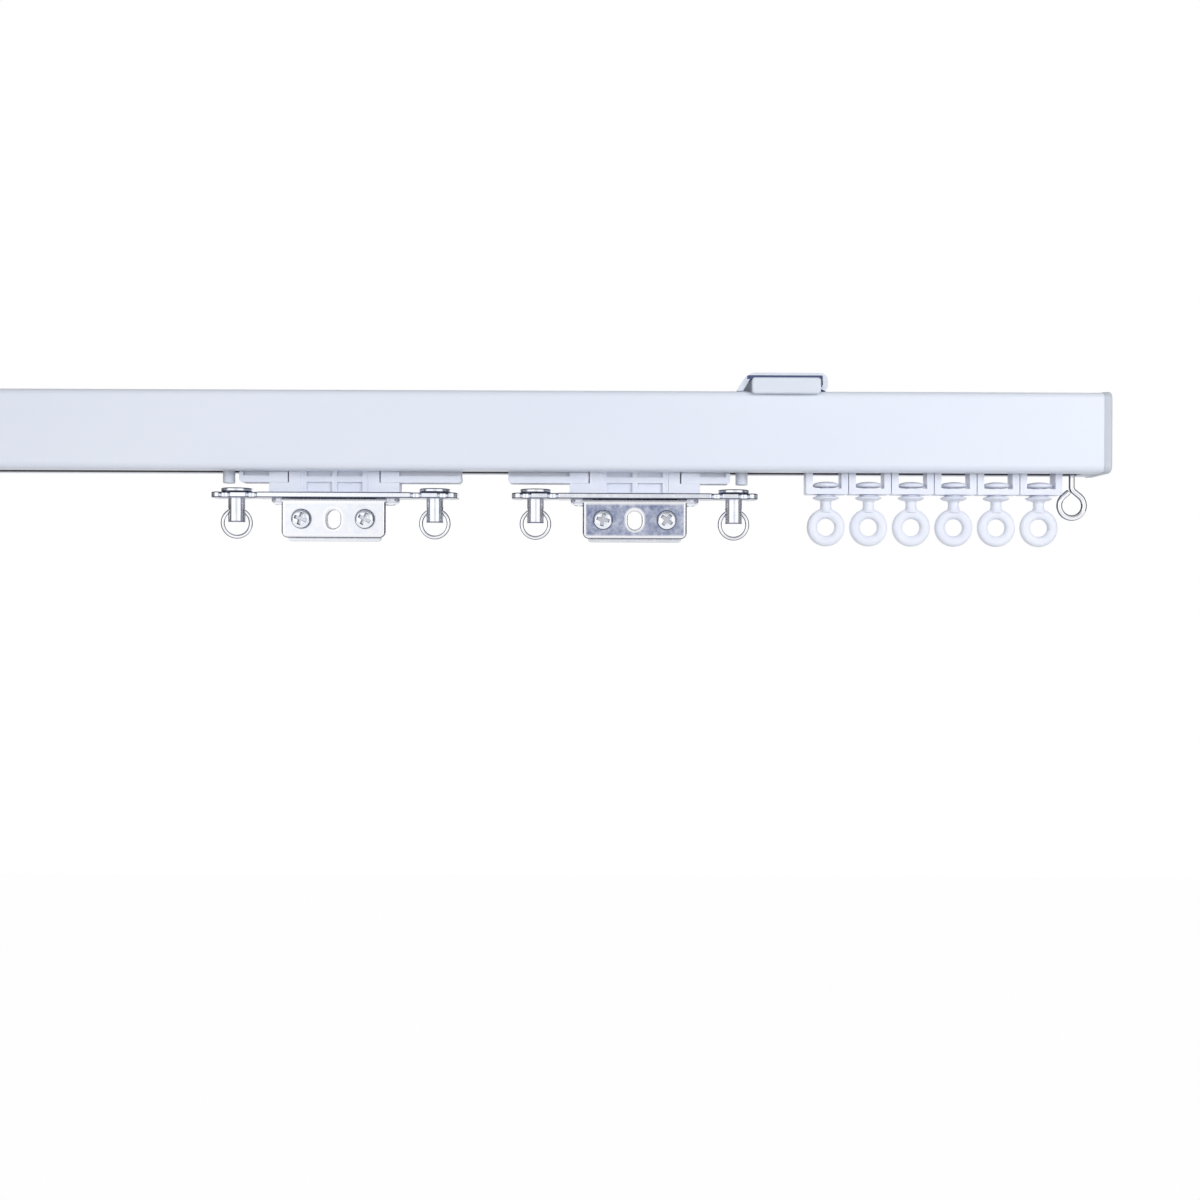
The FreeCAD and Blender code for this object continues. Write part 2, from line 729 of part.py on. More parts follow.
def make_glider_carriage(x):
    half = glider_half
    face = glider_depth / 2
    block_low = lip_top + glider_block_above_lip
    bar = block((-half, half), (-face, face), (bar_bottom, bar_top))
    bar = rounded(bar, glider_bar_edge, Vector(0, 0, 1))
    bar = rounded(bar, glider_bar_edge, Vector(0, 1, 0), lambda p: p.z < bar_bottom + 0.1)
    leg = block((half - glider_leg, half), (-face, face), (bar_top, block_low))
    leg = rounded(leg, glider_bar_edge, Vector(0, 0, 1), lambda p: p.x > half - 0.1)
    shape = bar.fuse(leg).fuse(leg.mirror(Vector(0, 0, 0), Vector(1, 0, 0)))
    top = block((-half, half), (-glider_block_depth / 2, glider_block_depth / 2),
                (block_low, block_low + glider_block_height))
    top = rounded(top, glider_block_height * 0.3, Vector(0, 1, 0), lambda p: p.z > block_low + 1)
    level = roller_level(glider_roller_diameter)
    reach = glider_depth
    bore = rod(roller_axle + 2 * axle_clearance, Vector(0, -reach, level), Vector(0, reach, level))
    waist = rod(eye_waist + 2 * eye_waist_clearance, Vector(0, 0, bar_bottom), Vector(0, 0, bar_top))
    shape = shape.fuse(top).cut(bore).cut(waist).removeSplitter()
    shape.translate(Vector(x, 0, 0))
    return shape


def make_glider_eye(x):
    """The swivelling eye: a button above the bar, a flared disc below it, a neck and the ring."""
    waist = eye_waist / 2
    button = eye_button / 2
    button_low = bar_top + eye_button_gap
    button_top = button_low + eye_button_edge
    disc_top = bar_bottom - eye_waist_clearance
    disc_low = disc_top - eye_disc_height
    disc = eye_disc / 2
    centre = Vector(0, 0, bar_bottom - eye_centre_drop)
    ring_top = centre.z + eye_ring / 2
    rise = [(button * math.cos(math.radians(a)), button_top + eye_button_rise * math.sin(math.radians(a)))
            for a in (0, 25, 50, 70)]
    neck_low = ring_top - eye_ring_edge
    outline = [(0, neck_low), (waist, neck_low), (waist, disc_low - eye_disc_edge), (disc * 0.8, disc_low)]
    outline += [(disc, disc_low + eye_disc_edge), (disc, disc_low + 2 * eye_disc_edge)]
    outline += [(eye_disc_top / 2, disc_top), (waist, disc_top), (waist, button_low)]
    outline += [(button * 0.85, button_low)]
    outline += rise + [(0, button_top + eye_button_rise)]
    stem = revolved(outline, Vector(0, 0, 0), Vector(0, 0, 1))
    half = eye_ring_depth / 2
    section = block((eye_hole / 2, eye_ring / 2), (-half, half), (0, 1))
    section = rounded(section, eye_ring_edge, Vector(0, 0, 1))
    face = [f for f in section.Faces if abs(f.CenterOfMass.z) < 1e-6][0]
    face.translate(centre)
    ring = face.revolve(centre, Vector(0, 1, 0), 360)
    eye = stem.fuse(ring).removeSplitter()
    eye.translate(Vector(x, 0, 0))
    return eye


def glider_pieces():
    result = {}
    level = roller_level(glider_roller_diameter)
    for number, x in enumerate(glider_x, start=1):
        name = "glider_%d_" % number
        result[name + "carriage"] = make_glider_carriage(x)
        result[name + "eye"] = make_glider_eye(x)
        result[name + "rollers"] = make_roller_set(glider_roller_diameter, glider_roller_width, level, x)
    return result


def all_pieces():
    clip_x = {"left": -clip_spacing / 2, "right": clip_spacing / 2}
    pieces = {
        "track_profile": make_track(),
        "end_cap_left": make_end_cap(-1),
        "end_cap_right": make_end_cap(1),
        "stop_eye_left": make_stop_eye(-1),
        "stop_eye_right": make_stop_eye(1),
        "stop_nuts": Part.makeCompound([make_stop_nut(-1), make_stop_nut(1)]),
        "clip_rivets": Part.makeCompound([make_clip_rivet(x) for x in clip_x.values()]),
    }
    for side, x in clip_x.items():
        pieces["clip_plate_" + side] = make_clip_plate(x)
        pieces["clip_latch_" + side] = make_clip_latch(x)
    pieces.update(carrier_pieces("left", left_carrier_x, 1, left_ring_turn))
    pieces.update(carrier_pieces("right", right_carrier_x, -1, 0))
    pieces.update(glider_pieces())
    return pieces


os.makedirs("parts", exist_ok=True)
for node, solid in all_pieces().items():
    print(node, len(solid.Solids), round(solid.Volume, 2), solid.isValid())
    solid.exportStep("parts/%s.step" % node)
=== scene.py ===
"""The looks of a ceiling-mounted curtain track: a white box profile, its clips, carriers, gliders and stops.

Sizes are in millimetres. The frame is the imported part's own: +X along the track, -Y towards the room, +Z up,
and z = 0 on the ceiling. Each sub-assembly is modelled about its own middle and then set where the part has it.
"""

import json
import logging
import math
from collections.abc import Callable, Sequence
from dataclasses import dataclass, field
from enum import Enum

import bpy
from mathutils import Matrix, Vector


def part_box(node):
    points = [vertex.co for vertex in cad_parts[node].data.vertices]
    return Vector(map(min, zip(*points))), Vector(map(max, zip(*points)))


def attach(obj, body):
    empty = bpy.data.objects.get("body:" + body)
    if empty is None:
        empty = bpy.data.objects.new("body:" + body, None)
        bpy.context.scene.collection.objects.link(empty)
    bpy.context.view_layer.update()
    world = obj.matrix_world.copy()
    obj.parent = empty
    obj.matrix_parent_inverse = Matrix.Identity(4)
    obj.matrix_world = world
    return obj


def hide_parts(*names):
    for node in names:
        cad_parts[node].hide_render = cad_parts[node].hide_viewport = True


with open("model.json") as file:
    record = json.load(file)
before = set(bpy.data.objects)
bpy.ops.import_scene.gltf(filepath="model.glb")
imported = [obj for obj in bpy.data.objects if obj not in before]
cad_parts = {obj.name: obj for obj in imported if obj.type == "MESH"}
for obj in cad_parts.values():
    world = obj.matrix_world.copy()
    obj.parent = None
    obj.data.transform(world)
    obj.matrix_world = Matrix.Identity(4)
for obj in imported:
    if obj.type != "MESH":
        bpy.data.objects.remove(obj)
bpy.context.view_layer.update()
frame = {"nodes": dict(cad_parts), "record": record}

log = logging.getLogger("curtain_track")
MM = 0.001
NEAR = 0.01  # how near a point has to be to count as on a face
LAP = 0.5  # how far joined blocks reach into one another
PROUD = 1.0  # how far a cutter stands out of what it cuts
PLAY = 0.05  # the room round a shank in its hole
ACROSS = (-9.0, 9.0)  # from one side of the slot to the other, with room to spare
X_AXIS, Y_AXIS, Z_AXIS = Vector((1, 0, 0)), Vector((0, 1, 0)), Vector((0, 0, 1))

Piece = bpy.types.Object
Face = bpy.types.MeshPolygon
Socket = bpy.types.NodeSocket
Material = bpy.types.Material
Point = Sequence[float]
Pair = tuple[float, float]
Span = float | Pair
Values = dict[str | int, object]
Wave = tuple[float | Point, ...]
Profile = tuple[Pair, ...]
Dressed = tuple[Material, str]


class Side(Enum):
    """The two ends of the track, and the two carriers."""

    LEFT = "left"
    RIGHT = "right"


class End(Enum):
    """The two ends of a carrier: inner is the one that faces the other carrier."""

    INNER = "inner"
    OUTER = "outer"

    @property
    def sign(self) -> int:
        """+1 at the inner end, which a carrier is modelled with at +X."""
        return 1 if self is End.INNER else -1


@dataclass(frozen=True)
class Levels:
    """Heights that several pieces share, measured from the ceiling."""

    track_top: float = -7.0
    track_bottom: float = -37.0
    plate_top: float = -44.9
    plate_bottom: float = -47.1
    ledge: float = -41.2
    chassis_bottom: float = -34.2
    clamp_screw: float = -55.1


LEVELS = Levels()


def off_front(face: Face) -> float:
    """1 on the flanks of a wire ring, which get a painted shade that reads as a dark outline."""
    return float(abs(face.normal.y) < 0.72)


def on_rounding(face: Face) -> float:
    """1 on the rounded rims between upright and level faces, which get a painted shade that reads as a dark
    outline.
    """
    return float(0.15 < abs(face.normal.z) < 0.99)


def middle_x(node: str) -> float:
    """The x of the middle of a CAD node at rest, in millimetres."""
    low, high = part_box(node)
    return (low[0] + high[0]) / 2 / MM


class Bench:
    """Modelling by operators. A method leaves object mode on unless it says otherwise."""

    @staticmethod
    def clear() -> None:
        """Deselects every object."""
        bpy.ops.object.select_all(action="DESELECT")

    @staticmethod
    def pick(obj: Piece) -> Piece:
        """Makes one object the only selected one, and active."""
        Bench.clear()
        obj.select_set(True)
        bpy.context.view_layer.objects.active = obj
        return obj

    @staticmethod
    def mode(name: str) -> None:
        """Puts the active object in edit or object mode."""
        bpy.ops.object.mode_set(mode=name)

    @staticmethod
    def apply() -> None:
        """Moves the place, turn and scale of the selected object into its mesh."""
        bpy.ops.object.transform_apply(location=True, rotation=True, scale=True)

    @staticmethod
    def settle(name: str) -> Piece:
        """Names the active object and moves its place into its mesh."""
        obj = Bench.pick(bpy.context.active_object)
        obj.name = obj.data.name = name
        Bench.apply()
        return obj

    @staticmethod
    def take_all() -> None:
        """In edit mode: selects the whole mesh."""
        bpy.ops.mesh.select_all(action="SELECT")

    @staticmethod
    def extrude(step: Vector) -> None:
        """In edit mode: draws out what is selected."""
        bpy.ops.mesh.extrude_region_move(TRANSFORM_OT_translate={"value": step * MM})

    @staticmethod
    def choose(obj: Piece, kind: str, test: Callable[..., bool]) -> None:
        """Selects the vertices (VERT) or edges (EDGE) that pass a test, and leaves edit mode on."""
        Bench.pick(obj)
        Bench.mode("EDIT")
        bpy.ops.mesh.select_mode(type=kind)
        bpy.ops.mesh.select_all(action="DESELECT")
        Bench.mode("OBJECT")
        for item in obj.data.vertices if kind == "VERT" else obj.data.edges:
            item.select = bool(test(item))
        Bench.mode("EDIT")

    @staticmethod
    def corners(spans: Sequence[Span], sign: int) -> list[Vector]:
        """The low and high corners of three spans. A lone number runs from itself times the sign to itself."""
        pairs = [sorted(span) if isinstance(span, tuple) else (sign * span, span) for span in spans]
        return [Vector(corner) for corner in zip(*pairs)]

    @staticmethod
    def block(name: str, *spans: Span) -> Piece:
        """A cube primitive over spans of x, y and z, where a number reaches as far to both sides of 0."""
        Bench.clear()
        low, high = (corner * MM for corner in Bench.corners(spans, -1))
        bpy.ops.mesh.primitive_cube_add(size=1, location=(low + high) / 2, scale=high - low)
        return Bench.settle(name)

    @staticmethod
    def rod(name: str, spans: Sequence[Span], radius: float, sides: int = 48) -> Piece:
        """A cylinder primitive, which runs along the one axis that has a pair in place of a number."""
        Bench.clear()
        start, end = Bench.corners(spans, 1)
        run = end - start
        turn = Z_AXIS.rotation_difference(run.normalized()).to_euler()
        bpy.ops.mesh.primitive_cylinder_add(vertices=sides, radius=radius * MM, depth=run.length * MM,
                                            location=(start + end) / 2 * MM, rotation=turn)
        return Bench.settle(name)

    @staticmethod
    def oblong(name: str, spans: Sequence[Span], radius: float, stretch: Vector) -> Piece:
        """A rod whose two halves are moved apart by a vector each, as a cutter for a slot with round ends."""
        cutter = Bench.rod(name, spans, radius, 64)
        start, end = Bench.corners(spans, 1)
        middle = (start + end) / 2
        for sign in (-1, 1):
            Bench.choose(cutter, "VERT", lambda point: (point.co / MM - middle).dot(stretch) * sign > 1e-4)
            bpy.ops.transform.translate(value=stretch * sign * MM)
            Bench.mode("OBJECT")
        return cutter

    @staticmethod
    def chain(points: Sequence[Vector]) -> None:
        """Leaves edit mode on, with a chain of edges extruded through the points."""
        Bench.clear()
        bpy.ops.mesh.primitive_plane_add(size=MM, location=points[0] * MM)
        Bench.apply()
        Bench.mode("EDIT")
        bpy.ops.mesh.select_mode(type="VERT")
        Bench.take_all()
        bpy.ops.mesh.merge(type="CENTER")
        Bench.take_all()
        for start, end in zip(points, points[1:]):
            Bench.extrude(end - start)

    @staticmethod
    def mend(merge: float = 0.004) -> None:
        """In edit mode: merges doubled points, turns the faces outwards and goes back to object mode."""
        Bench.take_all()
        bpy.ops.mesh.remove_doubles(threshold=merge * MM)
        bpy.ops.mesh.normals_make_consistent(inside=False)
        Bench.mode("OBJECT")

    @staticmethod
    def prism(name: str, outline: Sequence[Vector], rise: Vector) -> Piece:
        """A closed outline filled in and drawn out into a solid."""
        Bench.chain([*outline, outline[0]])
        Bench.take_all()
        bpy.ops.mesh.remove_doubles(threshold=0.004 * MM)
        bpy.ops.mesh.edge_face_add()
        Bench.extrude(rise)
        Bench.mend()
        return Bench.settle(name)

    @staticmethod
    def turned(name: str, outline: Sequence[Vector], centre: Vector, axis: Vector, steps: int) -> Piece:
        """A closed outline, or one that starts and ends on the axis, spun once about the axis."""
        Bench.chain(outline)
        Bench.take_all()
        bpy.ops.mesh.spin(steps=steps, angle=2 * math.pi, center=centre * MM, axis=axis)
        Bench.mend()
        return Bench.settle(name)

    @staticmethod
    def lathe(name: str, outline: Sequence[Pair], steps: int) -> Piece:
        """A lathe shape about the Z axis, from (radius, height) pairs."""
        points = [Vector((radius, 0, height)) for radius, height in outline]
        return Bench.turned(name, points, Vector(), Z_AXIS, steps)

    @staticmethod
    def modify(obj: Piece, kind: str, **settings: object) -> Piece:
        """Adds a modifier, sets it and applies it."""
        Bench.pick(obj)
        bpy.ops.object.modifier_add(type=kind)
        modifier = obj.modifiers[-1]
        for key, value in settings.items():
            setattr(modifier, key, value)
        bpy.ops.object.modifier_apply(modifier=modifier.name)
        return obj

    @staticmethod
    def combine(obj: Piece, others: Sequence[Piece], operation: str) -> Piece:
        """Cuts other objects from one, or joins them to it, and deletes them."""
        for other in others:
            Bench.modify(obj, "BOOLEAN", object=other, operation=operation, solver="EXACT")
            bpy.data.objects.remove(other)
        return obj

    @staticmethod
    def cut(obj: Piece, *cutters: Piece) -> Piece:
        """Takes the cutters away from the object."""
        return Bench.combine(obj, cutters, "DIFFERENCE")

    @staticmethod
    def join(obj: Piece, *others: Piece) -> Piece:
        """Unites the others with the object."""
        return Bench.combine(obj, others, "UNION")

    @staticmethod
    def bore(obj: Piece, *spans: Span, radius: float, sides: int = 48) -> Piece:
        """Cuts a round hole over the spans of a rod."""
        return Bench.cut(obj, Bench.rod("bore", spans, radius, sides))

    @staticmethod
    def bevel(obj: Piece, width: float, segments: int = 3, angle: float = 40.0) -> Piece:
        """Rounds every edge that is sharper than an angle in degrees."""
        return Bench.modify(obj, "BEVEL", width=width * MM, segments=segments, limit_method="ANGLE",
                            angle_limit=math.radians(angle), use_clamp_overlap=True, miter_outer="MITER_ARC")

    @staticmethod
    def round_edges(obj: Piece, radius: float, segments: int, test: Callable[[Vector], bool] = lambda point: True,
                    along: Vector | None = None) -> Piece:
        """Bevels chosen edges in edit mode.

        Args:
            obj: the object to work on.
            radius: the bevel's width.
            segments: how many faces the bevel has.
            test: takes the edge's middle in millimetres and says whether it is rounded.
            along: when given, only edges in this direction are rounded.

        Returns:
            The same object.
        """
        def chosen(edge: bpy.types.MeshEdge) -> bool:
            """Whether the edge has the direction and its middle passes the test."""
            a, b = (obj.data.vertices[i].co for i in edge.vertices)
            level = along is None or (b - a).normalized().cross(along).length < 1e-3
            return level and test((a + b) / 2 / MM)

        Bench.choose(obj, "EDGE", chosen)
        bpy.ops.mesh.bevel(offset=radius * MM, segments=segments, affect="EDGES", clamp_overlap=True)
        Bench.mode("OBJECT")
        return obj

    @staticmethod
    def trim(obj: Piece, point: Vector, normal: Vector) -> Piece:
        """Bisects the object and keeps the side that the normal points to, closed."""
        Bench.pick(obj)
        Bench.mode("EDIT")
        Bench.take_all()
        bpy.ops.mesh.bisect(plane_co=point * MM, plane_no=normal, use_fill=True, clear_inner=True)
        Bench.mode("OBJECT")
        return obj

    @staticmethod
    def copy(obj: Piece, name: str, move: Vector = Vector(), mirror_x: bool = False, turn: float = 0.0) -> Piece:
        """A copy with its own mesh, set in its place.

        Args:
            obj: the piece to copy.
            name: the copy's name.
            move: how far the copy is moved.
            mirror_x: whether the copy is mirrored about x = 0 first.
            turn: degrees that it is turned about Z first.

        Returns:
            The copy.
        """
        Bench.pick(obj)
        bpy.ops.object.duplicate(linked=False)
        twin = bpy.context.active_object
        if mirror_x:
            twin.scale = (-1, 1, 1)
            Bench.apply()
            Bench.mode("EDIT")
            Bench.mend(0.0001)
        twin.rotation_euler = (0, 0, math.radians(turn))
        twin.location = move * MM
        return Bench.settle(name)

    @staticmethod
    def polish(obj: Piece) -> Piece:
        """Smooth shading with crisp flats: smoothed by angle, then weighted normals."""
        Bench.pick(obj)
        bpy.ops.object.shade_smooth_by_angle(angle=math.radians(35))
        return Bench.modify(obj, "WEIGHTED_NORMAL", keep_sharp=True, weight=80)

    @staticmethod
    def mark(obj: Piece, name: str, share: Callable[[Face], float]) -> Piece:
        """Writes an attribute that a finish reads, with the share that each face has of it."""
        marks = obj.data.attributes.new(name, "FLOAT", "FACE")
        for face, mark in zip(obj.data.polygons, marks.data):
            mark.value = share(face)
        return obj

    @staticmethod
    def drop(*pieces: Piece) -> None:
        """Deletes patterns that have been copied."""
        for piece in pieces:
            bpy.data.objects.remove(piece)


class Tube:
    """A wire drawn by moving a circle: straight runs are extruded and bends are spun."""

    def __init__(self, centre: Vector, normal: Vector, radius: float, sides: int) -> None:
        """Starts edit mode with the open circle that is drawn along."""
        Bench.clear()
        turn = Z_AXIS.rotation_difference(normal).to_euler()
        bpy.ops.mesh.primitive_circle_add(vertices=sides, radius=radius * MM, location=centre * MM, rotation=turn)
        Bench.apply()
        Bench.mode("EDIT")
        bpy.ops.mesh.select_mode(type="EDGE")
        Bench.take_all()

    def run(self, step: Vector) -> None:
        """Draws the circle straight on."""
        Bench.extrude(step)

    def bend(self, centre: Vector, degrees: float, steps: int) -> None:
        """Draws the circle round a bend about Y: the operator turns against the axis, so the angle is negated."""
        bpy.ops.mesh.spin(steps=steps, angle=-math.radians(degrees), center=centre * MM, axis=Y_AXIS)

    def done(self, name: str, edge: float, segments: int) -> Piece:
        """Closes both ends, leaves edit mode, rounds the ends' edges and marks the flanks for a painted shade."""
        Bench.take_all()
        bpy.ops.mesh.remove_doubles(threshold=0.001 * MM)
        Bench.take_all()
        bpy.ops.mesh.fill_holes(sides=0)
        Bench.mend(0.001)
        return Bench.mark(Bench.bevel(Bench.settle(name), edge, segments, 60), "painted_shade", off_front)


class Nodes:
    """A small writer for the node tree of a material or a world. An input takes a value or a socket."""

    def __init__(self, owner: Material | bpy.types.World) -> None:
        """Turns the owner's nodes on."""
        owner.use_nodes = True
        self.owner = owner
        self.tree = owner.node_tree

    def fill(self, node: bpy.types.Node, values: Values) -> bpy.types.Node:
        """Sets a node's inputs, or links them where the value is a socket."""
        for key, value in values.items():
            if isinstance(value, Socket):
                self.tree.links.new(value, node.inputs[key])
            else:
                node.inputs[key].default_value = value
        return node

    def add(self, kind: str, values: Values, **settings: object) -> bpy.types.Node:
        """Adds a node of a kind, makes its settings and fills its inputs."""
        node = self.tree.nodes.new("ShaderNode" + kind)
        for key, value in settings.items():
            setattr(node, key, value)
        return self.fill(node, values)

    def shade(self, **values: object) -> Material:
        """Fills the main shader's inputs, named with underscores for spaces, and gives back the material."""
        shader = self.tree.nodes["Principled BSDF"]
        self.fill(shader, {key.replace("_", " "): value for key, value in values.items()})
        return self.owner

    def maths(self, operation: str, *values: object) -> Socket:
        """One Math node on sockets or numbers."""
        return self.add("Math", dict(enumerate(values)), operation=operation).outputs[0]

    def noise(self, scale: float, detail: float, rough: float, stretch: Point = (1, 1, 1)) -> Socket:
        """Noise on object coordinates.

        Args:
            scale: waves per metre.
            detail: octaves.
            rough: how strong the fine octaves are.
            stretch: factors on the three coordinates.

        Returns:
            The noise value's socket.
        """
        place = self.add("TexCoord", {}).outputs["Object"]
        mapped = self.add("Mapping", {"Scale": stretch, "Vector": place}).outputs["Vector"]
        values = {"Vector": mapped, "Scale": scale, "Detail": detail, "Roughness": rough}
        return self.add("TexNoise", values).outputs["Fac"]

    def spread(self, value: Socket, low: float, high: float, start: float = 0.3, stop: float = 0.7) -> Socket:
        """Maps start..stop to low..high."""
        limits = {"From Min": start, "From Max": stop, "To Min": low, "To Max": high}
        return self.add("MapRange", {"Value": value, **limits}).outputs["Result"]

    def ramp(self, value: Socket, stops: Sequence[tuple[float, Point]], interpolation: str) -> Socket:
        """Maps 0..1 through stops of place and colour."""
        node = self.add("ValToRGB", {"Fac": value})
        node.color_ramp.interpolation = interpolation
        elements = node.color_ramp.elements
        while len(elements) < len(stops):
            elements.new(0.5)
        for element, (place, colour) in zip(elements, stops):
            element.position = place
            element.color = (*colour, 1)
        return node.outputs["Color"]

    def blend(self, value: Socket, dark: Point, light: Point, start: float = 0.3, stop: float = 0.7) -> Socket:
        """Maps a noise value to a colour between two."""
        return self.ramp(value, ((start, dark), (stop, light)), "LINEAR")

    def attribute(self, name: str, output: str = "Fac") -> Socket:
        """One of the piece's own attributes."""
        return self.add("Attribute", {}, attribute_name=name).outputs[output]

    def over(self, base: Socket, colour: Point, share: Socket) -> Socket:
        """Lays a colour over another by a share from 0 to 1."""
        return self.add("Mix", {"Factor": share, "A": base, "B": (*colour, 1)}, data_type="RGBA").outputs["Result"]

    def bump(self, height: Socket, depth: float, strength: float) -> Socket:
        """Bump of a depth in millimetres."""
        values = {"Strength": strength, "Distance": depth * MM, "Height": height}
        return self.add("Bump", values).outputs["Normal"]

    def seen(self, *rays: str) -> Socket:
        """1 for the kinds of ray that are named and 0 for the rest."""
        paths = self.add("LightPath", {})
        found = paths.outputs["Is %s Ray" % rays[0]]
        for ray in rays[1:]:
            found = self.maths("MAXIMUM", found, paths.outputs["Is %s Ray" % ray])
        return found

    def mixed(self, share: Socket, first: object, second: object) -> Socket:
        """The first level where share is 0 and the second where it is 1."""
        rest = self.maths("SUBTRACT", 1.0, share)
        return self.maths("ADD", self.maths("MULTIPLY", rest, first), self.maths("MULTIPLY", share, second))


@dataclass(frozen=True)
class Finish:
    """What all finishes have: a name, the record's slot, two colours to wander between, and a gloss."""

    name: str
    slot: str
    dark: Point
    light: Point

    def make(self, nodes: Nodes) -> Material:
        """Writes the material, each kind of finish in its own way."""
        raise NotImplementedError

    def ready(self) -> Dressed:
        """The material, and the slot that it dresses."""
        return self.make(Nodes(bpy.data.materials.new(self.name))), self.slot


@dataclass(frozen=True)
class Enamel(Finish):
    """Powder coat: an even colour with faint clouds, orange peel and a soft gloss, and a painted shade on the inner
    faces that a piece marks.
    """

    # the colour of a painted shade on the inner faces a piece marks; this dark blue is the clip's, inside its fold
    # and over the handle
    inside_shade: Point = (0.06, 0.08, 0.2)
    rough: Pair = (0.3, 0.42)
    clouds: Wave = (7.0, 2.0, 0.45, (0.6, 1, 1))
    peel: Wave = (900.0, 2.0, 0.4)
    peel_bump: Pair = (0.012, 0.6)

    def make(self, nodes: Nodes) -> Material:
        """Writes the material."""
        paint, peel = nodes.blend(nodes.noise(*self.clouds), self.dark, self.light), nodes.noise(*self.peel)
        return nodes.shade(Base_Color=nodes.over(paint, self.inside_shade, nodes.attribute("inside_shade")),
                           Roughness=nodes.spread(peel, *self.rough), Normal=nodes.bump(peel, *self.peel_bump))


@dataclass(frozen=True)
class Moulding(Finish):
    """Moulded plastic: near-even colour, a fine satin skin and a little light through it."""

    rough: Pair = (0.36, 0.48)
    flow: Wave = (60.0, 3.0, 0.5, (1, 1, 0.5))
    skin: Wave = (2600.0, 2.0, 0.5)
    skin_bump: Pair = (0.006, 0.5)
    glow: float = 0.12
    glow_radius: Point = (0.9, 0.95, 1.0)

    def make(self, nodes: Nodes) -> Material:
        """Writes the material."""
        skin = nodes.noise(*self.skin)
        return nodes.shade(Base_Color=nodes.blend(nodes.noise(*self.flow), self.dark, self.light),
                           Roughness=nodes.spread(skin, *self.rough), Normal=nodes.bump(skin, *self.skin_bump),
                           Subsurface_Weight=self.glow, Subsurface_Radius=self.glow_radius, Subsurface_Scale=MM)


@dataclass(frozen=True)
class Plated(Finish):
    """Plated steel: mottled colour, cloudy gloss, a lightly pitted skin, and a painted shade where a piece is
    marked.
    """

    rough: Pair = (0.2, 0.34)
    pit_bump: Pair = (0.004, 0.5)
    # the colour of the painted shade: dark outlines on rims and flanks, and shade on undersides and in recesses
    shade_colour: Point = (0.13, 0.14, 0.2)
    mottle: Wave = (420.0, 4.0, 0.6)
    mottle_ends: Pair = (0.34, 0.66)
    pits: Wave = (1400.0, 3.0, 0.6)

    def make(self, nodes: Nodes) -> Material:
        """Writes the material."""
        mottle = nodes.noise(*self.mottle)
        plate = self.with_highlight(nodes, nodes.blend(mottle, self.dark, self.light, *self.mottle_ends))
        # the painted shade colour is laid over the faces that a piece marks
        return nodes.shade(Base_Color=nodes.over(plate, self.shade_colour, nodes.attribute("painted_shade")), Metallic=1.0,
                           Roughness=nodes.spread(mottle, *self.rough),
                           Normal=nodes.bump(nodes.noise(*self.pits), *self.pit_bump))

    def with_highlight(self, nodes: Nodes, plate: Socket) -> Socket:
        """The plate's colour with its painted highlight, which this finish has none of."""
        return plate


@dataclass(frozen=True)
class Stamped(Plated):
    """Plating on the clamp bracket, with a painted highlight along the flange's outline and round its oval slot.

    The piece's own "place" attribute gives each point's place on the bracket in millimetres.
    """

    # the colour of the painted highlight
    polish: Point = (0.93, 0.94, 0.97)
    half_width: float = 19.65
    half_height: float = 7.1
    edge: Pair = (1.7, 0.8)
    slot_edge: Pair = (1.5, 0.9)
    slot_half: float = 2.65
    slot_straight: float = 0.85

    def with_highlight(self, nodes: Nodes, plate: Socket) -> Socket:
        """Lays the painted highlight colour along the outline and round the slot."""
        maths = nodes.maths
        axes = nodes.add("SeparateXYZ", {0: nodes.attribute("place", "Vector")})
        across = maths("ABSOLUTE", axes.outputs["X"])
        down = maths("ABSOLUTE", maths("SUBTRACT", axes.outputs["Z"], LEVELS.clamp_screw))
        inside = maths("MINIMUM", maths("SUBTRACT", self.half_width, across),
                       maths("SUBTRACT", self.half_height, down))
        along = maths("MAXIMUM", maths("SUBTRACT", down, self.slot_straight), 0.0)
        reach = maths("SQRT", maths("ADD", maths("POWER", across, 2.0), maths("POWER", along, 2.0)))
        round_slot = maths("SUBTRACT", reach, self.slot_half)
        highlight_share = maths("MAXIMUM", nodes.spread(inside, 0.0, 1.0, *self.edge),
                       nodes.spread(round_slot, 0.0, 1.0, *self.slot_edge))
        return nodes.over(plate, self.polish, highlight_share)


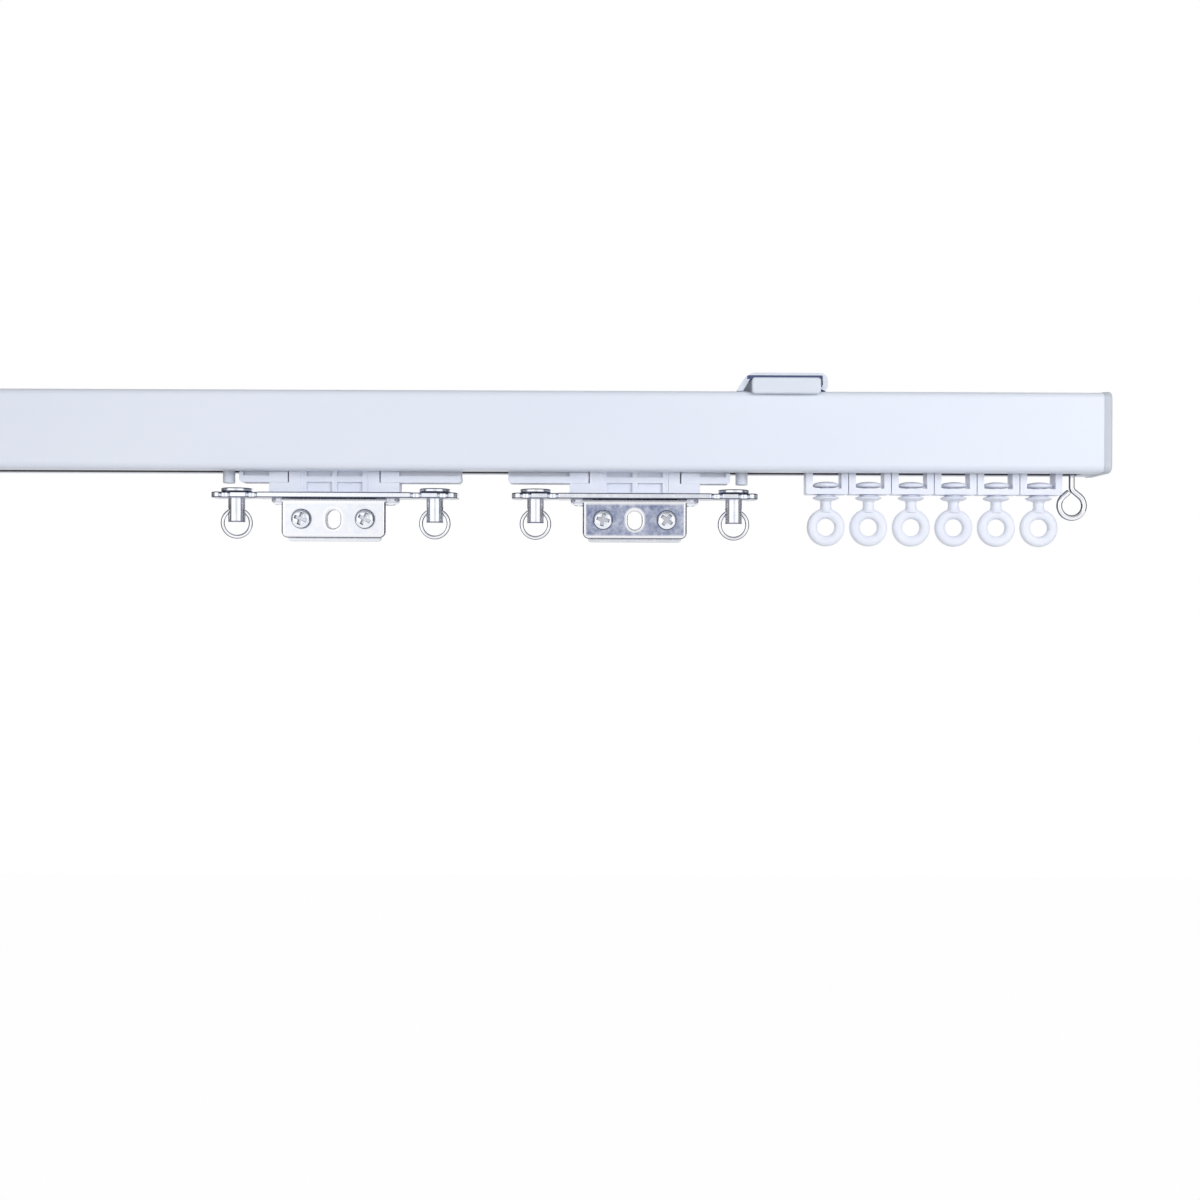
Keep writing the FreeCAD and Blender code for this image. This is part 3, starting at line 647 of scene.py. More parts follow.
class Finishes:
    """Every finish of the track, made once and handed out by name."""

    def __init__(self) -> None:
        """Makes the materials."""
        # the track's near-black colour inside is a painted shade in the slot and the running channel
        self.track = Enamel("track_enamel", "track_paint", (0.70, 0.745, 0.85), (0.76, 0.80, 0.89),
                            inside_shade=(0.07, 0.07, 0.08)).ready()
        self.clip = Enamel("clip_enamel", "clip_paint", (0.64, 0.69, 0.78), (0.69, 0.74, 0.83)).ready()
        self.cap = Moulding("cap_grey", "cap_plastic", (0.53, 0.57, 0.63), (0.58, 0.62, 0.68)).ready()
        self.white = Moulding("carrier_white", "white_plastic", (0.72, 0.76, 0.87), (0.79, 0.82, 0.91)).ready()
        self.eye = Moulding("eye_white", "eye_plastic", (0.76, 0.79, 0.9), (0.83, 0.86, 0.94)).ready()
        self.roller = Moulding("roller_white", "roller_plastic", (0.6, 0.62, 0.66), (0.68, 0.7, 0.74)).ready()
        # the two brackets are one zinc: the left copy is painted pale as a reflection, the right copy painted dark
        # as shade
        self.zinc_painted_reflection = Stamped("left_bracket_zinc_painted_reflection", "zinc_plate", (0.76, 0.79, 0.87), (0.9, 0.91, 0.95)).ready()
        self.zinc = Stamped("right_bracket_zinc_painted_shade", "zinc_plate", (0.22, 0.26, 0.42), (0.56, 0.6, 0.73)).ready()
        self.rear_zinc = Plated("rear_plate_zinc", "zinc_plate", (0.74, 0.77, 0.84), (0.88, 0.89, 0.93)).ready()
        self.nickel = Plated("plate_nickel", "nickel_steel", (0.8, 0.83, 0.92), (0.91, 0.93, 0.97),
                             rough=(0.16, 0.28), pit_bump=(0.002, 0.5)).ready()
        # the bright wire's painted shade is a lighter grey
        self.bright = Plated("wire_bright", "bright_wire", (0.84, 0.85, 0.89), (0.93, 0.94, 0.96),
                             rough=(0.08, 0.14), pit_bump=(0.002, 0.5), shade_colour=(0.2, 0.21, 0.27)).ready()

    def by_slot(self) -> dict[str, Dressed]:
        """The finishes, by the record's slot."""
        return {slot: (material, slot) for material, slot in vars(self).values()}

    def bracket(self, side: Side) -> Dressed:
        """The zinc of one carrier's bracket: the left copy is pale with a painted reflection, the right copy dark
        with painted shade.
        """
        return self.zinc_painted_reflection if side is Side.LEFT else self.zinc


def dress(obj: Piece, finish: Dressed, body: str, *nodes: str) -> Piece:
    """Polishes a finished piece, gives it material and body, and hides the CAD nodes it stands for.

    Args:
        obj: the finished piece.
        finish: the material and its slot.
        body: the body that the piece rides on.
        nodes: the CAD nodes that the piece stands for.

    Returns:
        The same piece.
    """
    material, slot = finish
    obj.data.materials.clear()
    obj.data.materials.append(material)
    Bench.polish(obj)
    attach(obj, body)
    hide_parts(*nodes)
    log.info("%s rides on %s, %d faces", obj.name, body, len(obj.data.polygons))
    return obj


def set_at_both_ends(pattern: Piece, name: str, finish: Dressed, node: str) -> None:
    """Copies a pattern of the right end to both ends of the track, dresses the copies and deletes the pattern."""
    for side in Side:
        twin = Bench.copy(pattern, side.value + name, mirror_x=side is Side.LEFT)
        dress(twin, finish, "track", node + side.value)
    Bench.drop(pattern)


def paint_node(node: str, finish: Dressed) -> None:
    """Gives a CAD node that stays in view its material."""
    obj = frame["nodes"][node]
    obj.data.materials.clear()
    obj.data.materials.append(finish[0])
    log.info("%s keeps its own form", node)


@dataclass
class TrackProfile:
    """The box extrusion: clip groove on top, empty chamber, and the running channel with its slot below."""

    length: float = 640.0
    width: float = 25.0
    wall: float = 1.3
    corner: float = 2.6
    chamber_corner: float = 0.8
    groove: Pair = (-10.6, -8.3)
    upper: Pair = (-20.8, -11.8)
    channel: Pair = (-35.4, -22.0)
    mouth_half: float = 5.2
    slot_half: float = 4.3
    lip_round: float = 0.5
    # how far past the slot's edge the painted shade reaches
    shade_margin: float = 0.3

    def build(self, finishes: Finishes) -> None:
        """Models and dresses the profile."""
        half, face = self.length / 2, self.width / 2
        profile = Bench.block("box_profile", half, face, (LEVELS.track_bottom, LEVELS.track_top))
        Bench.round_edges(profile, self.corner, 8, along=X_AXIS)
        for heights in (self.groove, self.upper, self.channel):
            hollow = Bench.block("hollow", half + PROUD, face - self.wall, heights)
            Bench.cut(profile, Bench.round_edges(hollow, self.chamber_corner, 4, along=X_AXIS))
        mouth = (self.groove[0] + self.chamber_corner, LEVELS.track_top + PROUD)
        slot = (LEVELS.track_bottom - PROUD, self.channel[0] + self.chamber_corner)
        Bench.cut(profile, Bench.block("mouth", half + PROUD, self.mouth_half, mouth),
                  Bench.block("slot", half + PROUD, self.slot_half, slot))
        Bench.round_edges(profile, self.lip_round, 4, self.on_lip, X_AXIS)
        # the walls of the slot and the running channel are marked for a painted shade
        Bench.mark(profile, "inside_shade", self.in_channel)
        dress(profile, finishes.track, "track", "track_profile")

    def in_channel(self, face: Face) -> float:
        """1 on the walls of the slot and of the running channel, which get a painted shade."""
        place = face.center / MM
        slot_wall = abs(place.y) < self.slot_half + self.shade_margin and place.z < self.channel[0]
        channel_wall = self.channel[0] - NEAR < place.z < self.channel[1] + NEAR
        return float(slot_wall or (channel_wall and abs(place.y) < self.width / 2 - self.wall + NEAR))

    def on_lip(self, point: Vector) -> bool:
        """Whether an edge is at the outer corner of the slot's or the groove's lips."""
        corners = ((self.slot_half, LEVELS.track_bottom), (self.mouth_half, LEVELS.track_top))
        return any(abs(abs(point.y) - y) < NEAR and abs(point.z - z) < NEAR for y, z in corners)


@dataclass
class EndCap:
    """A moulded cap with a domed plate, a hollow plug and a tongue that closes the end of the slot."""

    start: float = 320.0
    thickness: float = 3.0
    half_width: float = 12.75
    overhang: float = 0.25
    corner: float = 2.85
    dome: float = 0.9
    plug: float = 8.0
    plug_half: float = 11.05
    plug_wall: float = 1.6
    plug_heights: Pair = (-20.65, -11.95)
    plug_edge: float = 0.3
    tongue: float = 5.5
    tongue_half: float = 4.15
    tongue_top: float = -35.55
    tongue_edge: float = 0.15

    def build(self, finishes: Finishes) -> None:
        """Models the right cap and copies it to the left."""
        start, end, wall = self.start, self.start + self.thickness, self.plug_wall
        heights = (LEVELS.track_bottom - self.overhang, LEVELS.track_top + self.overhang)
        plate = Bench.block("cap", (start, end), self.half_width, heights)
        Bench.round_edges(plate, self.corner, 8, along=X_AXIS)
        Bench.round_edges(plate, self.dome, 5, lambda p: p.x > end - NEAR)
        plug = Bench.block("plug", (start - self.plug, start + LAP), self.plug_half, self.plug_heights)
        inside = (self.plug_heights[0] + wall, self.plug_heights[1] - wall)
        Bench.cut(plug, Bench.block("hollow", (start - self.plug - PROUD, start), self.plug_half - wall, inside))
        tongue = Bench.block("tongue", (start - self.tongue, start + LAP), self.tongue_half,
                             (LEVELS.track_bottom, self.tongue_top))
        Bench.join(plate, Bench.bevel(plug, self.plug_edge, 2), Bench.bevel(tongue, self.tongue_edge, 2))
        set_at_both_ends(plate, "_cap", finishes.cap, "end_cap_")


@dataclass
class CeilingClip:
    """A folded clip plate with two fixed hooks, and the sliding latch with a folded handle."""

    sheet: float = 2.0
    foot: float = -6.9
    half_depth: float = 10.5
    left_foot: float = -17.1
    left_top: float = -12.9
    right: float = 17.1
    tuck: float = 0.9
    tuck_height: float = 2.0
    bend: float = 3.0
    edge: float = 0.2
    relief: Pair = (0.5, 1.0)
    relief_lap: float = 0.3
    hook: Pair = (10.4, 14.0)
    hook_lap: float = 0.05
    throat: float = 5.2
    throat_play: float = 0.3
    bite: float = 2.5
    toe: Pair = (-9.85, -8.45)
    through: Pair = (-5.0, 1.0)
    screw_hole: float = 2.25
    rivet_y: float = -7.9
    rivet_shank: float = 2.0
    slot_play: float = 0.15
    latch: Pair = (-4.3, -2.3)
    latch_half: float = 7.3
    prong: float = 1.4
    window_half: float = 4.5
    window_front: float = -4.6
    travel: float = 3.2
    handle_rear: float = -12.8
    handle_sheet: float = 2.1
    handle_width: float = 25.8
    handle_offset: float = 1.1
    handle_height: float = 6.0
    handle_corner: float = 1.3
    handle_edges: Pair = (0.75, 0.25)

    def build(self, finishes: Finishes) -> None:
        """Models one clip and copies it to both places."""
        plate, latch = self.make_plate(), self.make_latch()
        for side in Side:
            move = X_AXIS * middle_x("clip_plate_" + side.value)
            twin = Bench.copy(plate, side.value + "_clip", move)
            dress(twin, finishes.clip, "track", "clip_plate_" + side.value)
            slider = Bench.copy(latch, side.value + "_latch_handle", move)
            dress(slider, finishes.clip, side.value + "_latch", "clip_latch_" + side.value)
        Bench.drop(plate, latch)

    def make_plate(self) -> Piece:
        """The folded plate about x = 0."""
        front, sheet = -self.half_depth, self.sheet
        bends = [(self.left_foot, self.foot), (self.left_top, 0), (self.right, 0),
                 (self.right, self.foot + self.tuck_height), (self.right - self.tuck, self.foot)]
        Bench.chain([Vector((x, front, z)) for x, z in bends])
        Bench.take_all()
        Bench.extrude(Y_AXIS * 2 * self.half_depth)
        Bench.mend()
        plate = Bench.settle("clip_plate")
        Bench.modify(plate, "SOLIDIFY", thickness=sheet * MM, offset=-1 if self.faces_up(plate) else 1,
                     use_even_offset=True)
        Bench.trim(plate, Z_AXIS * self.foot, Z_AXIS)
        Bench.round_edges(plate, self.bend, 8, lambda p: abs(p.z) < NEAR, Y_AXIS)
        Bench.round_edges(plate, self.bend - sheet, 5, lambda p: abs(p.z + sheet) < NEAR and abs(p.x) > 5, Y_AXIS)
        Bench.bore(plate, 0, 0, self.through, radius=self.screw_hole)
        Bench.bore(plate, 0, self.rivet_y, self.through, radius=self.rivet_shank + PLAY)
        Bench.bevel(plate, self.edge)
        Bench.cut(plate, Bench.block("relief", (self.left_top - self.relief_lap, self.right - sheet),
                                     (front - PROUD, self.relief[0] + front), (-sheet - LAP, -self.relief[1])))
        Bench.join(plate, *(self.hook_leg(sign) for sign in (-1, 1)))
        # the inner side of the sheet, the relief and the downward faces are marked for a painted shade
        return Bench.mark(plate, "inside_shade", self.on_inside)

    def on_inside(self, face: Face) -> float:
        """1 on the inner side of the folded sheet, in the relief over the handle and on faces that look down, which
        all get a painted shade.
        """
        place = face.center / MM
        fold = face.normal.x < -0.7 and place.x > self.right - self.sheet - self.relief_lap
        relief = face.normal.y < -0.7 and place.y > self.relief[0] / 2 - self.half_depth and place.z > -self.sheet
        return float(fold or relief or face.normal.z < -0.3)

    @staticmethod
    def faces_up(plate: Piece) -> bool:
        """Whether the sheet's top face points up."""
        return max(plate.data.polygons, key=lambda face: face.center.z).normal.z > 0

    def hook_leg(self, sign: int) -> Piece:
        """One fixed hook: a leg down through the groove's mouth and a toe under its front lip."""
        x = (sign * self.hook[0], sign * self.hook[1])
        low, high = self.toe
        front = self.throat_play - self.throat
        leg = Bench.block("leg", x, (front, front + high - low), (low, self.hook_lap - self.sheet))
        return Bench.join(leg, Bench.block("toe", x, (-self.throat - self.bite, front + LAP), self.toe))

    def make_latch(self) -> Piece:
        """The sliding latch about x = 0."""
        low, high = self.latch
        rear, through = self.throat - self.throat_play, (low - PROUD, high + PROUD)
        tongue = Bench.block("tongue", self.latch_half, (self.handle_rear - LAP, rear), self.latch)
        window = Bench.block("window", self.window_half, (self.window_front, rear + PROUD), through)
        slot = Bench.oblong("slot", (0, self.rivet_y + self.travel / 2, through), self.rivet_shank + self.slot_play,
                            Y_AXIS * self.travel / 2)
        Bench.cut(tongue, window, slot)
        for sign in (-1, 1):
            x = (sign * self.window_half, sign * self.latch_half)
            leg = Bench.block("leg", x, (rear - self.prong, rear), (self.toe[0], high))
            toe = Bench.block("toe", x, (rear - self.prong, self.throat + self.bite), self.toe)
            Bench.join(tongue, Bench.join(leg, toe))
        left, face = self.handle_offset - self.handle_width / 2, self.handle_rear - self.handle_sheet
        handle = Bench.block("handle", (left, left + self.handle_width), (face, self.handle_rear),
                             (high - self.handle_height, high))
        Bench.round_edges(handle, self.handle_corner, 6, along=Y_AXIS)
        Bench.round_edges(handle, self.handle_edges[0], 5, lambda p: p.y < face + NEAR)
        Bench.round_edges(handle, self.handle_edges[1], 3, lambda p: p.y > self.handle_rear - NEAR)
        return Bench.join(handle, tongue)


@dataclass
class StopEye:
    """The end stop: bent wire with a teardrop loop that is butted at its neck."""

    x: float = 311.5
    wire: float = 2.2
    loop: float = 4.7
    neck: float = -42.6
    centre: float = -48.7
    bend: float = 2.0
    top: float = -31.9
    butt_gap: float = 1.3
    edge: float = 0.3

    def build(self, finishes: Finishes) -> None:
        """Draws the right eye and copies it to the left."""
        drop = self.neck - self.centre
        flank = math.sqrt(drop ** 2 - self.loop ** 2)
        lean = math.asin(self.loop / drop)
        shorten = self.bend * math.tan(lean / 2)
        tube = Tube(Vector((self.x, 0, self.top)), Z_AXIS, self.wire / 2, 24)
        tube.run(Z_AXIS * (self.neck + shorten - self.top))
        tube.bend(Vector((self.x + self.bend, 0, self.neck + shorten)), -math.degrees(lean), 10)
        tube.run(Vector((math.sin(lean), 0, -math.cos(lean))) * (flank - shorten))
        tube.bend(Vector((self.x, 0, self.centre)), 180 + 2 * math.degrees(lean), 56)
        tube.run(Vector((math.sin(lean), 0, math.cos(lean))) * (flank - self.butt_gap))
        set_at_both_ends(tube.done("stop_wire", self.edge, 3), "_stop_wire", finishes.bright, "stop_eye_")


@dataclass(frozen=True)
class Screw:
    """A pan-head screw about Z, with its seat at z = 0 and its head below it."""

    head: float
    height: float
    shank: float
    length: float
    # how strong the painted shade on the head's flank is
    flank_shade: float
    profile: Profile = ((0, 1), (0.45, 0.985), (0.75, 0.9), (0.92, 0.7), (1, 0.42), (1, 0))
    point: float = 0.5
    recess: Point = (1.34, 0.36, 0.75)
    recess_top: float = 1.02
    taper: float = 0.8
    edge: float = 0.08

    def make(self, turn: float) -> Piece:
        """The screw, with its cross recess turned by some degrees."""
        outline = [(self.head * x, -self.height * z) for x, z in self.profile]
        outline += [(self.shank, 0), (self.shank, self.length - self.point),
                    (self.shank - self.point, self.length), (0, self.length)]
        screw = Bench.lathe("screw", outline, 56)
        for angle in (turn, turn + 90):
            Bench.cut(screw, self.blade(angle))
        Bench.bevel(screw, self.edge, 2, 50)
        # the head's flank and the cross recess are marked for a painted shade
        return Bench.mark(screw, "painted_shade", self.shade_share)

    def blade(self, turn: float) -> Piece:
        """A tapered cutter for one arm of the recess, which stands a little proud of the head."""
        Bench.clear()
        length, width, depth = self.head * self.recess[0], self.head * self.recess[1], self.height * self.recess[2]
        corner = math.sqrt(0.5) * MM
        bpy.ops.mesh.primitive_cone_add(vertices=4, radius1=corner, radius2=corner * self.taper, depth=depth * MM,
                                        rotation=(0, 0, math.radians(45)))
        blade = Bench.settle("blade")
        blade.scale = (length, width, 1)
        blade = Bench.settle("blade")
        blade.rotation_euler = (0, 0, math.radians(turn))
        blade = Bench.settle("blade")
        blade.location = (Z_AXIS * (-self.height * self.recess_top) + Z_AXIS * (depth / 2 - NEAR)) * MM
        return Bench.settle("blade")

    def shade_share(self, face: Face) -> float:
        """Painted shade on the flank of the head and in its recess, darkest on the recess walls."""
        place = face.center / MM
        reach = math.hypot(place.x, place.y)
        if reach > self.head * 0.9:
            return self.flank_shade * (abs(face.normal.z) < 0.75)
        recess = reach < self.head * 0.75 and -self.height * 0.9 < place.z < -0.1
        return recess * (0.8 if abs(face.normal.z) < 0.9 else 0.35)

    def pair(self, name: str, x: float, turns: Pair, seat: Vector, lean: float = 0.0) -> Piece:
        """Two screws as one object.

        Args:
            name: the object's name.
            x: how far each screw is from the seat's middle.
            turns: degrees that the two recesses are turned.
            seat: the middle between the two seats.
            lean: degrees that both screws are turned about X.

        Returns:
            The object.
        """
        screws = []
        for offset, turn in zip((-x, x), turns):
            screw = self.make(turn)
            screw.rotation_euler = (math.radians(lean), 0, 0)
            screw.location = (seat + X_AXIS * offset) * MM
            screws.append(screw)
        Bench.pick(screws[1])
        screws[0].select_set(True)
        bpy.context.view_layer.objects.active = screws[0]
        bpy.ops.object.join()
        return Bench.settle(name)


@dataclass
class MasterCarrier:
    """A carrier, modelled about x = 0 with its long wing towards +X, and set twice.

    The plastic body runs in the slot. The stamped hook plate, the clamp bracket, the pins and the rings hang below.
    """

    body_half: float = 24.65
    body_edge: float = 0.22
    column_half: float = 17.1
    face: float = 4.0
    chassis: Pair = (-44.0, 36.0)
    chassis_face: float = 3.8
    chassis_top: float = -26.0
    chassis_corner: float = 2.4
    axle_x: float = 30.0
    axle_level: float = -29.85
    axle_bore: float = 1.35
    rib_reach: float = 17.5
    rib_face: float = 1.5
    window_half: float = 12.8
    window_recess: float = 0.4
    window_sill: float = 0.2
    pane_recess: float = 1.9
    pane_post: float = 0.95
    pane_end: float = 10.5
    pane_rows: tuple[Pair, Pair] = ((-38.8, -36.7), (-44.6, -41.0))
    shoe_start: float = 17.6
    shoe_face: float = 4.2
    shoe_web: float = 2.6
    shoe_top: float = -37.3
    shoe_edge: float = 0.28
    bead_top: float = -38.7
    bead_corner: float = 1.2
    inner_reach: float = 47.9
    outer_reach: float = 36.0
    post: float = 1.6
    stem_inset: float = 0.1
    peg_x: float = -40.7
    peg_radius: float = 2.3
    peg_low: float = -41.4
    peg_edge: float = 0.35
    plate_half: float = 46.65
    plate_edge: float = 6.0
    plate_corner: float = 3.2
    plate_rim: float = 0.4
    scallop: float = 2.0
    scallop_x: Pair = (31.0, 41.2)
    cusp: float = 0.7
    fixing_x: float = 20.5
    fixing_screw: Screw = Screw(3.9, 2.5, 1.7, 9.0, flank_shade=0.25)
    fixing_turns: Pair = (25, 60)
    body_bore: Pair = (-46.0, -40.0)
    shoe_bore: Pair = (-42.0, -38.05)
    flange_half: float = 19.65
    flange_sheet: float = 1.5
    flange_low: float = -62.2
    flange_corner: float = 2.3
    leg_half: float = 15.9
    bend: float = 2.0
    bend_inset: float = 0.04
    rim: float = 1.2
    rim_normals: Pair = (-0.82, -0.1)
    rim_end: float = 0.1
    oval_rim: float = 0.75
    oval_half: float = 2.65
    oval_straight: float = 0.85
    bracket_edge: float = 0.3
    rear_half: float = 17.8
    rear_y: Pair = (-2.6, -1.1)
    rear_z: Pair = (-63.4, -50.2)
    rear_corner: float = 1.5
    rear_edge: float = 0.35
    clamp_x: float = 12.0
    clamp_screw: Screw = Screw(3.75, 2.2, 1.95, 6.4, flank_shade=1.0)
    clamp_turns: dict[Side, Pair] = field(default_factory=lambda: {Side.LEFT: (18, 28), Side.RIGHT: (12, 38)})
    pin_x: float = 37.7
    pin_head: Pair = (5.9, 1.5)
    pin_radius: float = 3.25
    pin_low: float = -56.2
    pin_rim: float = 0.4
    pin_play: float = 0.08
    pin_bore: float = 1.638
    pin_bore_level: float = -51.8066
    ring_radius: float = 5.25
    ring_wire: float = 0.75
    ring_level: float = -56.4932
    ring_gap: float = 1.2
    ring_edge: float = 0.12
    left_ring_turn: float = 20.0

    def build(self, finishes: Finishes) -> None:
        """Models each piece once, copies it to both carriers and dresses it."""
        fixing_screws = self.fixing_screw.pair("fixing_screws", self.fixing_x, self.fixing_turns,
                                               Z_AXIS * LEVELS.plate_bottom)
        clamp_seat = Vector((0, -self.plate_edge, LEVELS.clamp_screw))
        patterns = {
            "body": (self.make_body(), finishes.white),
            "inner_shoe": (self.make_shoe(self.inner_reach, False), finishes.white),
            "outer_shoe": (self.make_outer_shoe(), finishes.white),
            "peg": (self.make_peg(), finishes.white),
            "hook_plate": (self.make_hook_plate(), finishes.nickel),
            "bracket": (self.make_bracket(), finishes.zinc),
            "rear_plate": (self.make_rear_plate(), finishes.rear_zinc),
            "fixing_screws": (fixing_screws, finishes.nickel),
        }
        pin, ring = self.make_pin(), self.make_ring()
        for side in Side:
            # the left carrier is as modelled, and the right one is its mirror image
            mirrored = side is Side.RIGHT
            move = X_AXIS * middle_x(side.value + "_carrier_hook_plate")
            carrier = side.value + "_carrier"
            for part, (pattern, finish) in patterns.items():
                piece = Bench.copy(pattern, "%s_%s" % (side.value, part), move, mirrored)
                finish = finishes.bracket(side) if finish is finishes.zinc else finish
                dress(piece, finish, carrier, "%s_%s" % (carrier, part))
            screws = self.clamp_screw.pair("clamp_screws", self.clamp_x, self.clamp_turns[side], clamp_seat, -90)
            piece = Bench.copy(screws, side.value + "_clamp_screws", move)
            dress(piece, finishes.nickel, carrier, carrier + "_clamp_screws")
            Bench.drop(screws)
            for end in End:
                x = self.pin_x * end.sign * (-1 if mirrored else 1)
                turn = self.left_ring_turn if (side, end) == (Side.LEFT, End.OUTER) else 0.0
                for part, pattern, finish in (("pin", pin, finishes.nickel), ("ring", ring, finishes.bright)):
                    name = "%s_%s_%s" % (side.value, end.value, part)
                    piece = Bench.copy(pattern, name + "_made", move + X_AXIS * x, turn=turn)
                    dress(piece, finish, name, "%s_%s_%s" % (carrier, end.value, part))
        Bench.drop(pin, ring, *(pattern for pattern, _ in patterns.values()))

    def make_body(self) -> Piece:
        """The plastic body: base, column with its window, and the chassis inside the track."""
        column = (LEVELS.ledge - LAP, LEVELS.chassis_bottom + LAP)
        base = Bench.block("base", self.body_half, self.face, (LEVELS.plate_top, LEVELS.ledge))
        chassis = Bench.block("chassis", self.chassis, self.chassis_face, (LEVELS.chassis_bottom, self.chassis_top))
        Bench.round_edges(chassis, self.chassis_corner, 6, lambda p: p.z > self.chassis_top - NEAR, Y_AXIS)
        Bench.join(base, Bench.block("column", self.column_half, self.face, column),
                   Bench.block("rib", self.rib_reach, self.rib_face, column), chassis)
        for sign in (-1, 1):
            self.cut_window(base, sign)
        for x in (-self.axle_x, self.axle_x):
            Bench.bore(base, x, ACROSS, self.axle_level, radius=self.axle_bore, sides=32)
        for x in (-self.fixing_x, self.fixing_x):
            Bench.bore(base, x, 0, self.body_bore, radius=self.fixing_screw.shank + PLAY, sides=32)
        return Bench.bevel(base, self.body_edge)

    def cut_window(self, body: Piece, sign: int) -> None:
        """Sinks the window and its four panes into one face of the column."""
        outside = sign * (self.face + PROUD)
        heights = (LEVELS.plate_top + self.window_sill, LEVELS.track_bottom)
        Bench.cut(body, Bench.block("window", self.window_half, (outside, sign * (self.face - self.window_recess)),
                                    heights))
        for row in self.pane_rows:
            for end in (-1, 1):
                Bench.cut(body, Bench.block("pane", (end * self.pane_post, end * self.pane_end),
                                            (outside, sign * (self.face - self.pane_recess)), row))

    def make_shoe(self, reach: float, has_post: bool) -> Piece:
        """A guide shoe at +X: a seat on the ledge, and a wing whose lower bead slides along the slot.

        Args:
            reach: how far the wing reaches from the carrier's middle.
            has_post: whether a post closes the wing's end.

        Returns:
            The shoe.
        """
        seat_x, wing_x = (self.shoe_start, self.body_half), (self.body_half - LAP, reach)
        top = LEVELS.chassis_bottom
        seat = Bench.block("seat", seat_x, self.shoe_face, (LEVELS.ledge, self.shoe_top))
        neck = Bench.block("neck", seat_x, self.face - self.stem_inset, (self.shoe_top - LAP, top))
        web = Bench.block("web", wing_x, self.shoe_web, (self.bead_top - LAP, top))
        bead = Bench.block("bead", wing_x, self.shoe_face, (LEVELS.ledge, self.bead_top))
        Bench.round_edges(bead, self.bead_corner, 6,
                          lambda p: p.x > reach - NEAR and p.z < LEVELS.ledge + NEAR, Y_AXIS)
        Bench.join(seat, neck, web, bead)
        if has_post:
            Bench.join(seat, Bench.block("post", (reach - self.post, reach), self.shoe_face,
                                         (self.bead_top - LAP, self.shoe_top)))
        Bench.bore(seat, self.fixing_x, 0, self.shoe_bore, radius=self.fixing_screw.shank + PLAY, sides=32)
        return Bench.bevel(seat, self.shoe_edge)

    def make_outer_shoe(self) -> Piece:
        """The short shoe, mirrored to -X."""
        shoe = self.make_shoe(self.outer_reach, True)
        twin = Bench.copy(shoe, "outer_shoe", mirror_x=True)
        Bench.drop(shoe)
        return twin

    def make_peg(self) -> Piece:
        """The round peg at the outer end."""
        top = LEVELS.chassis_bottom
        outline = [(0, self.peg_low), (self.peg_radius, self.peg_low), (self.peg_radius, top), (0, top)]
        peg = Bench.bevel(Bench.lathe("peg", outline, 40), self.peg_edge, 4)
        peg.location = X_AXIS * self.peg_x * MM
        return Bench.settle("peg")

    def make_hook_plate(self) -> Piece:
        """The stamped plate with scalloped ends and rounded rims."""
        right = self.plate_quarter()
        right += [Vector((point.x, -point.y, point.z)) for point in reversed(right)]
        outline = right + [Vector((-point.x, point.y, point.z)) for point in reversed(right)]
        plate = Bench.prism("hook_plate", outline, Z_AXIS * (LEVELS.plate_top - LEVELS.plate_bottom))
        Bench.bevel(plate, self.plate_rim, 4, 60)
        through = (LEVELS.plate_bottom - PROUD, LEVELS.plate_top + PROUD)
        for end in (-1, 1):
            Bench.bore(plate, end * self.pin_x, 0, through, radius=self.pin_radius + self.pin_play)
            Bench.bore(plate, end * self.fixing_x, 0, through, radius=self.fixing_screw.shank + PLAY)
        # painted shade: a full dark outline on the rounded rims, and a weaker shade on the underside
        return Bench.mark(plate, "painted_shade", lambda face: on_rounding(face) + 0.6 * (face.normal.z < -0.99))

    def plate_quarter(self) -> list[Vector]:
        """The front right quarter of the hook plate's outline: two scallops with rounded cusps, and a corner."""
        cusp, reach = self.cusp, self.scallop + self.cusp
        side = math.sqrt(reach ** 2 - cusp ** 2)
        inner, outer = (Vector((x, -self.plate_edge, LEVELS.plate_bottom)) for x in self.scallop_x)
        corner = Vector((self.plate_half - self.plate_corner, self.plate_corner - self.plate_edge, inner.z))
        tip = self.touching(outer, reach, corner, self.plate_corner - cusp)
        turn = self.heading(corner, tip)
        points = []
        for centre, far, end in ((inner, inner + Vector((side, cusp, 0)), 270), (outer, tip, 360 + turn)):
            near = centre + Vector((-side, cusp, 0))
            start, stop = self.heading(centre, near), self.heading(centre, far)
            points += self.arc(near, cusp, -90, start - 180, 6) + self.arc(centre, self.scallop, start, stop, 18)
            points += self.arc(far, cusp, 180 + stop, end, 6)
        return points + self.arc(corner, self.plate_corner, turn, 0, 10)

    @staticmethod
    def heading(start: Vector, end: Vector) -> float:
        """The direction from one point to another seen from above, in degrees."""
        return math.degrees(math.atan2(end.y - start.y, end.x - start.x))

    @staticmethod
    def touching(first: Vector, first_reach: float, second: Vector, second_reach: float) -> Vector:
        """The front one of the two points that lie at the given reaches from two centres."""
        gap = second - first
        along = (first_reach ** 2 - second_reach ** 2 + gap.length ** 2) / (2 * gap.length)
        aside = math.sqrt(first_reach ** 2 - along ** 2)
        ahead = gap.normalized()
        return first + ahead * along + Vector((ahead.y, -ahead.x, 0)) * aside

    @staticmethod
    def arc(centre: Vector, radius: float, start: float, end: float, steps: int) -> list[Vector]:
        """Points along a level arc between two directions in degrees."""
        angles = [math.radians(start + (end - start) * step / steps) for step in range(steps + 1)]
        return [centre + Vector((math.cos(angle), math.sin(angle), 0)) * radius for angle in angles]

